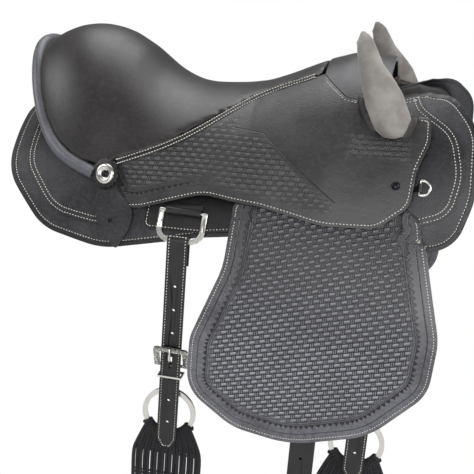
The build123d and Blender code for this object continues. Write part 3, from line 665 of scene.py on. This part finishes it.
def rod(line: list[Vector], radius: float, sides: int = 8, closed: bool = False,
        shape: bmesh.types.BMesh | None = None, normals: list[Vector] | None = None,
        flat: float = 1.0) -> bmesh.types.BMesh:
    """Round or flattened rod along a line.

    Args:
        line: its middle.
        radius: its radius in metres.
        sides: faces round it.
        closed: whether it is a ring.
        shape: a bmesh to add it to.
        normals: direction of its thickness at each point, where it is flat.
        flat: thickness as a share of width.

    Returns:
        The bmesh.
    """
    shape = shape or bmesh.new()
    rings = []
    guide = Vector((0.13, 0.31, 0.94))
    for index, spot in enumerate(line):
        after = line[(index + 1) % len(line)] if closed else line[min(index + 1, len(line) - 1)]
        run = (after - line[index - 1 if closed or index else 0]).normalized()
        guide = normals[index] if normals else guide
        across = run.cross(guide).normalized()
        guide = across.cross(run).normalized()
        turn = Matrix((across, guide * flat, run)).transposed().to_4x4()
        made = bmesh.ops.create_circle(shape, cap_ends=False, segments=sides, radius=radius,
                                       matrix=Matrix.Translation(spot) @ turn)
        rings.append(made["verts"])
    pairs = list(zip(rings, rings[1:])) + ([(rings[-1], rings[0])] if closed else [])
    for pair in pairs:
        edges = dict.fromkeys(edge for ring in pair for vert in ring for edge in vert.link_edges
                              if any(all(end in other for end in edge.verts) for other in pair))
        bmesh.ops.bridge_loops(shape, edges=list(edges))
    if not closed:
        for ring in (rings[0], rings[-1]):
            bmesh.ops.contextual_create(shape, geom=ring)
    bmesh.ops.recalc_face_normals(shape, faces=shape.faces)
    return shape


def bisect(shape: bmesh.types.BMesh, spot: Vector, normal: Vector, clear: bool = False) -> None:
    """Cut a shape along a plane, and clear what lies beyond it if asked."""
    parts = shape.verts[:] + shape.edges[:] + shape.faces[:]
    bmesh.ops.bisect_plane(shape, geom=parts, dist=ON_PLANE, plane_co=spot, plane_no=normal,
                           clear_outer=clear)


def carved(shape: bmesh.types.BMesh, outline: tuple) -> bmesh.types.BMesh:
    """Take a prism that runs across the saddle out of a shape.

    Args:
        shape: the mesh to cut, freed here.
        outline: corners of the prism in metres, as x and z.

    Returns:
        The cut mesh.
    """
    reach = 0.4
    cutter = bmesh.new()
    face = cutter.faces.new([cutter.verts.new((x, -reach, z)) for x, z in outline])
    grown = bmesh.ops.extrude_face_region(cutter, geom=[face])["geom"]
    bmesh.ops.translate(cutter, verts=[part for part in grown if isinstance(part, bmesh.types.BMVert)],
                        vec=(0, 2 * reach, 0))
    bmesh.ops.recalc_face_normals(cutter, faces=cutter.faces)
    made = []
    for name, source in (("cutter", cutter), ("stock", shape)):
        mesh = bpy.data.meshes.new(name)
        source.to_mesh(mesh)
        source.free()
        made.append(bpy.data.objects.new(name, mesh))
        bpy.context.scene.collection.objects.link(made[-1])
    cut = made[1].modifiers.new("cut", "BOOLEAN")
    cut.object, cut.operation, cut.solver = made[0], "DIFFERENCE", "EXACT"
    result = bmesh.new()
    result.from_object(made[1], bpy.context.evaluated_depsgraph_get())
    for item in made:
        bpy.data.meshes.remove(item.data)
    bmesh.ops.remove_doubles(result, verts=result.verts, dist=WELD)
    return result


@dataclass(frozen=True)
class Thread:
    """Run of stitches along places on a surface."""

    length: float = 3.5 * MM
    width: float = 1.6 * MM
    rise: float = 1.0 * MM

    def sew(self, places: list[Place], shape: bmesh.types.BMesh) -> None:
        """Add one stitch at each place."""
        for spot, run, normal in places:
            across = normal.cross(run).normalized()
            axes = (run * self.length / 2, across * self.width / 2, normal * self.rise)
            turn = Matrix(axes).transposed().to_4x4()
            bmesh.ops.create_icosphere(shape, subdivisions=1, radius=1.0,
                                       matrix=Matrix.Translation(spot) @ turn)


@dataclass
class Layer:
    """One leather layer with its thread.

    Where a ground is given, the layer is cut into squares of that size, which carry its marks.
    """

    node: str
    finish: Finish
    lines: tuple = ()
    step: float = 5.2 * MM
    ground: float = 0.0
    cut: tuple = ()

    rim_step = 1.5 * MM
    stitch_share = 0.66

    def build(self, stock: Stock, side: Side) -> None:
        """Dress the node and sew it.

        Args:
            stock: frame and materials.
            side: side that the layer faces.
        """
        shape = stock.merged(self.node)
        if self.cut:
            shape = carved(shape, self.cut)
        skin = Skin(shape, side)
        if self.ground:
            self.rule(shape)
        piece = stock.piece(self.node + "_dressed", shape, self.finish, self.node)
        if self.ground:
            self.mark(piece, skin)
        if self.lines:
            sewn = bmesh.new()
            for distance in self.lines:
                places = skin.inset(distance, self.step, self.kept)
                Thread(length=self.step * self.stitch_share).sew(places, sewn)
            stock.piece(self.node + "_thread", sewn, Finish.THREAD, self.node, False, 80)

    def rule(self, shape: bmesh.types.BMesh) -> None:
        """Cut the layer into small squares so that marks can be stored on its points."""
        low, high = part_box(self.node)
        for axis in (0, 2):
            normal = Vector((axis == 0, 0, axis == 2))
            for index in range(1, int((high[axis] - low[axis]) / self.ground) + 1):
                bisect(shape, normal * (low[axis] + index * self.ground), normal)

    def mark(self, piece: bpy.types.Object, skin: Skin) -> None:
        """Store each point's distance from the rim, its place along it, and how deep it is stamped."""
        rim = enumerate(along_loop(skin.rim, self.rim_step))
        spots = [(index, spot) for index, spot in rim if self.kept(spot)]
        near = KDTree(len(spots))
        for index, spot in spots:
            near.insert(spot, index)
        near.balance()
        names = ("edge", "along", "stamp", "rich")
        for name in names:
            piece.data.attributes.new(name, "FLOAT", "POINT")
        stores = [piece.data.attributes[name].data for name in names]
        for vert in piece.data.vertices:
            _, index, distance = near.find(vert.co)
            marks = (distance, index * self.rim_step, self.stamped(vert.co, distance), self.rich(vert.co))
            for store, value in zip(stores, marks):
                store[vert.index].value = value

    def kept(self, spot: Vector) -> bool:
        """Whether a place on the rim is a real edge of the leather."""
        return True

    def rich(self, spot: Vector) -> float:
        """How strongly a point shows the stamped border."""
        return 1.0

    def stamped(self, spot: Vector, distance: float) -> float:
        """How deeply a point is stamped, from 0 to 1."""
        return 0.0


class Fender(Layer):
    """Fender below its fold, stamped all over inside its border."""

    def kept(self, spot: Vector) -> bool:
        """Leave out the fold, where the leather goes on."""
        return spot.z < -83 * MM

    def stamped(self, spot: Vector, distance: float) -> float:
        """Full depth a little inside the border's creases."""
        start, fade = 35.0, 2.0
        return min(max((distance / MM - start) / fade, 0.0), 1.0)


class Neck(Fender):
    """Fender above its fold."""

    def kept(self, spot: Vector) -> bool:
        """Only the two edges that stand below the side jockey."""
        return spot.z < -35 * MM and not 84 * MM < spot.x < 358 * MM


class Jockey(Layer):
    """Side jockey stamped behind the concho, below the diagonal line and round the knee pad."""

    seam_rise = 0.52

    def kept(self, spot: Vector) -> bool:
        """Leave out the seam under the seat."""
        return spot.z < self.seam_rise * spot.x + 25 * MM

    def rich(self, spot: Vector) -> float:
        """Border that fades out ahead of the rear patch."""
        end = 40 * MM
        return min(max((end - spot.x) / end, 0.0), 1.0)

    def stamped(self, spot: Vector, distance: float) -> float:
        """Depth that fades towards the plain leather between the patches."""
        x, z, edge = spot.x / MM, spot.z / MM, distance / MM
        seam = self.seam_rise * x + 29.5
        line = 36 - DIAGONAL_FALL * max(x - DIAGONAL_BEND, 0)
        pad_foot = 30 - 0.002 * (x - 290) ** 2
        rear = min((x + 114) / 8, (66 - x) / 60, (edge - 33) / 4, (seam - z) / 6, 1.0)
        front = min((x - 34) / 40, (232 - x) / 12, (edge - 16) / 6, (line - z) / 4, 1.0)
        base = min((x - 236) / 12, (338 - x) / 12, (z - pad_foot) / 6, (62 - z) / 5, 1.0)
        return max(0.0, 0.9 * rear, 0.6 * front, 0.4 * base)


class Leatherwork:
    """All layers and straps that are cut from flat leather."""

    front_top = ((0.287, 0.098), (0.352, 0.122), (0.352, 0.18), (0.287, 0.18))
    wide_ground = 9 * MM
    fine_ground = 6 * MM

    def build(self, stock: Stock) -> None:
        """Dress both sides and the straps."""
        wide, fine, top = self.wide_ground, self.fine_ground, self.front_top
        for side in Side:
            tag = side.tag
            layers = [
                Layer("skirt_" + tag, Finish.SKIRT, (9 * MM,), ground=wide, cut=top),
                Layer("upper_skirt_" + tag, Finish.LAYER, (4 * MM, 11 * MM), cut=top),
                Layer("rigging_plate_" + tag, Finish.STRAP, (4 * MM,)),
                Jockey("side_jockey_" + tag, Finish.JOCKEY, (5 * MM,), ground=fine),
                Layer("drop_tab_" + tag, Finish.LAYER),
                Fender("fender_" + tag, Finish.FENDER, (5.6 * MM,), 4.4 * MM, ground=fine),
                Neck("fender_neck_" + tag, Finish.FENDER, (5.6 * MM,), 4.4 * MM, ground=fine),
                Layer("stirrup_leather_" + tag, Finish.STRAP, (4 * MM,), 4.6 * MM),
                Layer("rear_billet_" + tag, Finish.STRAP, (3.6 * MM,), 4.8 * MM),
                Layer("front_billet_" + tag, Finish.STRAP, (3.6 * MM,), 4.8 * MM),
            ]
            for layer in layers:
                layer.build(stock, side)
        for node in ("dee_chapes", "breast_dee_chapes", "girth_chapes", "rosettes"):
            stock.dress(node, Finish.STRAP)


@dataclass
class Padding:
    """Soft piece filled out from its plain solid."""

    node: str
    finish: Finish
    voxel: float
    rounds: int
    fill: float = 0.7
    swell: float = 0.0
    cut: tuple = ()

    pressure = 4.0
    frames = 14
    all_axes = {"use_axis_x": True, "use_axis_y": True, "use_axis_z": True}

    def build(self, stock: Stock) -> None:
        """Remesh, round and, where a swell is given, blow up the piece by cloth."""
        shape = self.core(stock)
        bmesh.ops.recalc_face_normals(shape, faces=shape.faces)
        piece = stock.piece(self.node + "_filled", shape, self.finish, self.node)
        remesh = piece.modifiers.new("even", "REMESH")
        remesh.mode = "VOXEL"
        remesh.voxel_size = self.voxel
        self.settle(piece)
        self.relax(piece, self.rounds)
        if self.swell:
            self.inflate(piece)
            self.relax(piece, 2)
        for polygon in piece.data.polygons:
            polygon.use_smooth = True
        fine = piece.modifiers.new("fine", "SUBSURF")
        fine.levels = fine.render_levels = 1

    def core(self, stock: Stock) -> bmesh.types.BMesh:
        """Mesh that the piece starts from."""
        shape = stock.merged(self.node)
        return carved(shape, self.cut) if self.cut else shape

    @staticmethod
    def settle(piece: bpy.types.Object) -> None:
        """Apply the piece's modifiers to its mesh."""
        graph = bpy.context.evaluated_depsgraph_get()
        done = bpy.data.meshes.new_from_object(piece.evaluated_get(graph))
        done.name = piece.name
        piece.modifiers.clear()
        piece.data = done

    def relax(self, piece: bpy.types.Object, rounds: int) -> None:
        """Round the mesh off."""
        shape = bmesh.new()
        shape.from_mesh(piece.data)
        for _ in range(rounds):
            bmesh.ops.smooth_vert(shape, verts=shape.verts, factor=0.5, **self.all_axes)
        shape.to_mesh(piece.data)
        shape.free()

    def inflate(self, piece: bpy.types.Object) -> None:
        """Blow the piece up as cloth, and cap how far each point moves."""
        rest = [vert.co.copy() for vert in piece.data.vertices]
        cloth = piece.modifiers.new("cloth", "CLOTH")
        cloth.settings.use_pressure = True
        cloth.settings.uniform_pressure_force = self.pressure
        cloth.settings.effector_weights.gravity = 0.0
        cloth.point_cache.frame_end = self.frames
        for number in range(1, self.frames + 1):
            bpy.context.scene.frame_set(number)
        graph = bpy.context.evaluated_depsgraph_get()
        moved = piece.evaluated_get(graph).to_mesh()
        goals = [vert.co.copy() for vert in moved.vertices]
        piece.modifiers.clear()
        bpy.context.scene.frame_set(1)
        for vert, start, goal in zip(piece.data.vertices, rest, goals):
            step = goal - start
            vert.co = start + step * min(1.0, self.swell / max(step.length, ON_PLANE * MM))


class Gusset(Padding):
    """Pleated welt that shows only round the foot of a knee pad."""

    top = Vector((0.237, 0, 0.110))
    tilt = Vector((0.22, 0, 1))
    push = Vector((10 * MM, 3 * MM, 10 * MM))

    def core(self, stock: Stock) -> bmesh.types.BMesh:
        """Lower part of the solid, pushed out past the pad."""
        shape = stock.merged(self.node)
        bisect(shape, self.top, self.tilt, True)
        bmesh.ops.holes_fill(shape, edges=shape.edges, sides=0)
        bmesh.ops.recalc_face_normals(shape, faces=shape.faces)
        shape.normal_update()
        for vert in shape.verts:
            vert.co += vert.normal * self.push
        return shape


@dataclass
class CantleRoll:
    """Padded roll that follows the cantle rim from concho to concho."""

    radius: float = 11.0 * MM
    contact: float = 0.6
    stations: int = 15
    reach: float = 84.0
    wedge: float = 7.0
    step: float = 6 * MM
    tail: float = 27 * MM

    def build(self, stock: Stock) -> None:
        """Sweep the roll along the middle of its plain solid."""
        seat = stock.merged("seat_cushion")
        tree = BVHTree.FromBMesh(seat)
        seat.free()
        middle = along_loop(smooth_line(self.middle(stock)), self.step, False)
        line = eased([self.seated(tree, spot) for spot in middle])
        first = line[0] + (line[0] - line[2]).normalized() * self.tail
        last = line[-1] + (line[-1] - line[-3]).normalized() * self.tail
        sweep = rod(along_loop([first, *line, last], self.step, False), self.radius, 16)
        made = stock.piece("cantle_roll", sweep, Finish.ROLL, "cantle_band", True, 60)

    def middle(self, stock: Stock) -> list[Vector]:
        """Middles of slices through the plain solid, from end to end."""
        shape = stock.merged("cantle_band")
        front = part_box("cantle_band")[1][0]
        middle = []
        for step in range(self.stations):
            goal = math.radians(self.reach * (2 * step / (self.stations - 1) - 1))
            near = [vert.co for vert in shape.verts
                    if abs(math.atan2(vert.co.y, front - vert.co.x) - goal) < math.radians(self.wedge)]
            middle.append(sum(near, Vector()) / len(near))
        shape.free()
        return middle

    def seated(self, tree: BVHTree, spot: Vector) -> Vector:
        """Place from which the roll just presses into the seat."""
        near = tree.find_nearest(spot)[0]
        gap = spot - near
        return near + gap * min(1.0, self.contact * self.radius / max(gap.length, ON_PLANE))


@dataclass
class SeatWelt:
    """Strip sewn with two rows over the seam between seat and side jockey.

    The seam is given by its x and z in millimetres.
    """

    half: float = 5.6 * MM
    flat: float = 0.32
    rows: float = 3.3 * MM
    step: float = 4.6 * MM
    lift: float = 0.8 * MM
    probe: float = 10 * MM
    seam: tuple = ((-129, -29), (-100, -17), (-62, -1), (-25, 18), (10, 41), (49, 68), (84, 89), (124, 107),
                   (174, 129))

    def build(self, stock: Stock, side: Side) -> None:
        """Lay the strip over the seam and sew it."""
        trees = []
        for node in ("side_jockey_" + side.tag, "seat_cushion"):
            shape = bmesh.new()
            shape.from_mesh(stock.frame["nodes"][node].data)
            trees.append(BVHTree.FromBMesh(shape))
            shape.free()
        line = eased(along_loop(self.laid(trees, side), self.step, False))
        normals = eased([self.normal(trees, spot, side) for spot in line])
        line = [spot + normal * self.lift for spot, normal in zip(line, normals)]
        strip = rod(line, self.half, 14, normals=normals, flat=self.flat)
        stock.piece("seat_welt_" + side.tag, strip, Finish.STRAP, "seat_cushion", False, 60)
        sewn = bmesh.new()
        rise = self.half * self.flat * math.sqrt(1 - (self.rows / self.half) ** 2)
        last = len(line) - 1
        for shift in (self.rows, -self.rows):
            places = []
            for index, (spot, normal) in enumerate(zip(line, normals)):
                run = (line[min(index + 1, last)] - line[max(index - 1, 0)]).normalized()
                places.append((spot + run.cross(normal).normalized() * shift + normal * rise, run, normal))
            Thread(length=3.3 * MM, width=1.9 * MM, rise=1.1 * MM).sew(places, sewn)
        stock.piece("seat_thread_" + side.tag, sewn, Finish.THREAD, "seat_cushion", False, 80)

    def laid(self, trees: list[BVHTree], side: Side) -> list[Vector]:
        """Seam laid on whichever surface stands further out."""
        line = []
        for spot in smooth_line([Vector((x, 0, z)) * MM for x, z in self.seam]):
            start = Vector((spot.x, side.value * 0.5, spot.z))
            hits = [tree.ray_cast(start, Vector((0, -side.value, 0)))[0] for tree in trees]
            hits = [hit for hit in hits if hit is not None]
            if hits:
                line.append(max(hits, key=lambda hit: hit.y * side.value))
        return line

    def normal(self, trees: list[BVHTree], spot: Vector, side: Side) -> Vector:
        """Outward direction near a spot, from both surfaces a little way off the seam."""
        found = [tree.find_nearest(spot + Vector((0, 0, shift)))[1]
                 for tree, shift in zip(trees, (-self.probe, self.probe))]
        outward = [normal for normal in found if normal.y * side.value > 0.2]
        return (sum(outward, Vector()) + Vector((0, side.value, 0.45)) * 0.5).normalized()


class Seating:
    """Seat, cantle roll, pommel cover, knee pads and panels."""

    def build(self, stock: Stock) -> None:
        """Fill the padded pieces and sew the seat."""
        Padding("seat_cushion", Finish.SEAT, 6 * MM, 6, 0.9).build(stock)
        CantleRoll().build(stock)
        stock.dress("pommel_cover", Finish.LAYER)
        for side in Side:
            Padding("knee_pad_" + side.tag, Finish.SUEDE, 4 * MM, 7, 0.8, 4 * MM).build(stock)
            Gusset("knee_pad_gusset_" + side.tag, Finish.PLEATS, 3 * MM, 2, 0.7).build(stock)
            Padding("panel_" + side.tag, Finish.WOOL, 7 * MM, 6, 0.7, cut=Leatherwork.front_top).build(stock)
            SeatWelt().build(stock, side)


class Hardware:
    """Metal fittings, tree and rubber, whose solids are already right."""

    finishes = {
        Finish.NICKEL: ("rear_dee_right", "front_dee_right", "rear_dee_left", "front_dee_left",
                        "breast_dee_right", "breast_dee_left", "conchos", "girth_rings", "rear_tongue",
                        "front_tongue", "keepers"),
        Finish.ENGRAVED: ("rear_buckle", "front_buckle"),
        Finish.BLACK_STEEL: ("screws",),
        Finish.STEEL: ("stirrup_iron_right", "stirrup_iron_left", "stirrup_bars"),
        Finish.RUBBER: ("tread_pad_right", "tread_pad_left"),
        Finish.LAYER: ("fork_arch",),
        Finish.WOOD: ("tree_bars", "cantle_board"),
        Finish.FELT: ("ground_seat",),
    }

    def build(self, stock: Stock) -> None:
        """Dress every fitting with a smooth copy."""
        for finish, nodes in self.finishes.items():
            for node in nodes:
                stock.dress(node, finish)


@dataclass
class StringGirth:
    """Girth strung from parallel cotton cords between its two rings."""

    cords: int = 19
    width: float = 114 * MM
    radius: float = 3.2 * MM
    ring: float = 45 * MM
    plate: float = 4.45 * MM
    grip: float = 41 * MM
    length: float = 900 * MM
    neck: float = 58 * MM
    bands: tuple = (64, 70, 76, 118, 124, 172, 178)

    def build(self, stock: Stock) -> None:
        """String the girth in place of its plain solid."""
        low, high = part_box("girth_rings")
        self.rear = Vector((low.x + self.ring, low.y + self.plate, low.z + self.ring))
        self.front = Vector((high.x - self.ring, high.y - self.plate, low.z + self.ring))
        self.span = (self.front - self.rear).length
        self.turn = -(self.length - math.pi * self.span / 2) / 2
        cords, bands, wraps = bmesh.new(), bmesh.new(), bmesh.new()
        for index in range(self.cords):
            rod(self.cord(index / (self.cords - 1) * 2 - 1, index % 2), self.radius, 6, False, cords)
        for leg in (0, 1):
            for drop in self.bands:
                self.band(bands, leg, drop * MM)
            for step in range(-9, 10):
                self.wrap(wraps, leg, math.radians(step * 6.6))
        stock.piece("girth_cords", cords, Finish.STRING, "girth", True, 60)
        stock.piece("girth_bands", bands, Finish.STRING, "girth", False, 60)
        stock.piece("girth_wraps", wraps, Finish.STRING, "girth", False, 60)

    def spot(self, x: float, z: float, out: float = 0.0) -> Vector:
        """Point in the girth's plane: x along it from the rear ring, z above the rings' middle."""
        run = (self.front - self.rear).normalized()
        return self.rear + run * x + Vector((0, out, z))

    def cord(self, share: float, odd: int) -> list[Vector]:
        """Middle line of one cord, from ring to ring round the turn."""
        side = share * self.width / 2
        angle = share * math.radians(58)
        weave = (0.9 if odd else -0.9) * MM
        line = []
        for leg, sign in ((0, -1), (1, 1)):
            middle = leg * self.span
            top = self.spot(middle + sign * self.grip * math.sin(angle), -self.grip * math.cos(angle), weave)
            neck = self.spot(middle + sign * side * 0.88, -self.neck, -weave)
            straight = [self.spot(middle + sign * side, z, weave)
                        for z in (-82 * MM, -130 * MM, -180 * MM, self.turn)]
            line.append(smooth_line([top, neck, *straight], 4))
        radius = self.span / 2 + side
        bend = [self.spot(self.span / 2 - radius * math.cos(step), self.turn - radius * math.sin(step), weave)
                for step in (math.pi * part / 16 for part in range(1, 16))]
        return line[0] + bend + line[1][::-1]

    def band(self, shape: bmesh.types.BMesh, leg: int, drop: float) -> None:
        """Cord that weaves across the others."""
        middle, half = leg * self.span, self.width / 2 + 2 * MM
        top, narrowed = self.bands[0] * MM, 80 * MM
        half = half if drop > narrowed else half * (0.86 + (drop - top) / MM * 0.008)
        line = []
        for part in range(2 * self.cords + 1):
            share = part / (2 * self.cords) * 2 - 1
            out = math.sin(part * math.pi / 2 + drop / MM) * 2.6 * MM
            line.append(self.spot(middle + share * half, -drop, out))
        rod(line, 2.0 * MM, 6, False, shape)

    def wrap(self, shape: bmesh.types.BMesh, leg: int, angle: float) -> None:
        """Loop of cord round the ring's stock."""
        outward = Vector((math.sin(angle), 0, -math.cos(angle)))
        centre = self.spot(leg * self.span + outward.x * self.grip, outward.z * self.grip)
        line = [centre + outward * 7.4 * MM * math.cos(step) + Vector((0, 5.0 * MM * math.sin(step), 0))
                for step in (math.tau * part / 12 for part in range(12))]
        rod(line, 2.4 * MM, 6, True, shape)


@dataclass
class Studio:
    """Camera, lights and pale floor."""

    azimuth: float = 12.0
    elevation: float = 18.0
    roll: float = 4.5
    distance: float = 1.4
    half_view: float = 15.15
    target: Vector = field(default_factory=lambda: Vector((0.08105, -0.2, -0.1254)))
    ground: float = -1.15
    lamps: tuple = (("left", (-2.3, -0.7, 1.3), 1.4, 26.0), ("front", (0.4, -2.9, 0.75), 1.7, 38.0),
                    ("right", (2.2, -1.0, 1.0), 1.2, 34.0), ("top", (-0.2, 0.9, 2.3), 2.0, 50.0))

    def build(self) -> None:
        """Place the camera, then light it."""
        scene = bpy.context.scene
        camera = bpy.data.objects.new("camera", bpy.data.cameras.new("camera"))
        scene.collection.objects.link(camera)
        scene.camera = camera
        turn, lift = math.radians(self.azimuth), math.radians(self.elevation)
        back = Vector((math.sin(turn) * math.cos(lift), -math.cos(turn) * math.cos(lift), math.sin(lift)))
        right = Vector((math.cos(turn), math.sin(turn), 0))
        up = back.cross(right)
        lean = math.radians(self.roll)
        across = right * math.cos(lean) + up * math.sin(lean)
        axes = Matrix((across, back.cross(across), back)).transposed().to_4x4()
        camera.matrix_world = Matrix.Translation(self.target + back * self.distance) @ axes
        half_sensor = 18.0
        camera.data.sensor_width = 2 * half_sensor
        camera.data.lens = half_sensor / math.tan(math.radians(self.half_view))
        for name, place, size, power in self.lamps:
            self.light(name, Vector(place), size, power)
        self.floor()
        self.world()

    def light(self, name: str, place: Vector, size: float, power: float) -> None:
        """Add one soft square light aimed at the saddle."""
        lamp = bpy.data.lights.new(name, "AREA")
        lamp.size, lamp.energy = size, power
        made = bpy.data.objects.new(name, lamp)
        made.location = place
        made.rotation_euler = (place - self.target).to_track_quat("Z", "Y").to_euler()
        bpy.context.scene.collection.objects.link(made)

    def floor(self) -> None:
        """Lay the floor below the girth."""
        shape = bmesh.new()
        bmesh.ops.create_grid(shape, x_segments=4, y_segments=4, size=40.0,
                              matrix=Matrix.Translation((0, 0, self.ground)))
        mesh = bpy.data.meshes.new("floor")
        shape.to_mesh(mesh)
        shape.free()
        shader = Shader("pale_floor")
        shader.set(Base_Color=(0.5, 0.5, 0.5, 1.0), Roughness=0.9)
        seen = shader.node("ShaderNodeLightPath")
        glow = shader.node("ShaderNodeEmission", inputs={"Color": (1, 1, 1, 1), "Strength": 1.0})
        camera, glossy = (Term(shader, seen.outputs[name]) for name in ("Is Camera Ray", "Is Glossy Ray"))
        mix = shader.node("ShaderNodeMixShader", inputs={0: camera.at_least(glossy)})
        shader.tree.links.new(shader.surface.outputs[0], mix.inputs[1])
        shader.tree.links.new(glow.outputs[0], mix.inputs[2])
        shader.tree.links.new(mix.outputs[0], shader.tree.nodes["Material Output"].inputs[0])
        mesh.materials.append(shader.material)
        made = bpy.data.objects.new("floor", mesh)
        bpy.context.scene.collection.objects.link(made)

    def world(self) -> None:
        """Even white light all round."""
        world = bpy.data.worlds.new("studio")
        bpy.context.scene.world = world
        world.use_nodes = True
        tree = world.node_tree
        seen = tree.nodes.new("ShaderNodeLightPath")
        strength = tree.nodes.new("ShaderNodeMapRange")
        tree.links.new(seen.outputs["Is Camera Ray"], strength.inputs[0])
        strength.inputs["To Min"].default_value = 0.22
        strength.inputs["To Max"].default_value = 1.0
        tree.links.new(strength.outputs[0], tree.nodes["Background"].inputs[1])
        tree.nodes["Background"].inputs[0].default_value = (1, 1, 1, 1)


def main() -> None:
    """Build the saddle's looks and write how large they are."""
    logging.basicConfig(level=logging.INFO, format="%(message)s")
    stock = Stock()
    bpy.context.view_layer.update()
    bpy.context.scene.view_settings.view_transform = "Standard"
    Studio().build()
    for assembly in (Leatherwork(), Seating(), Hardware(), StringGirth()):
        assembly.build(stock)


if __name__ == "__main__":
    main()
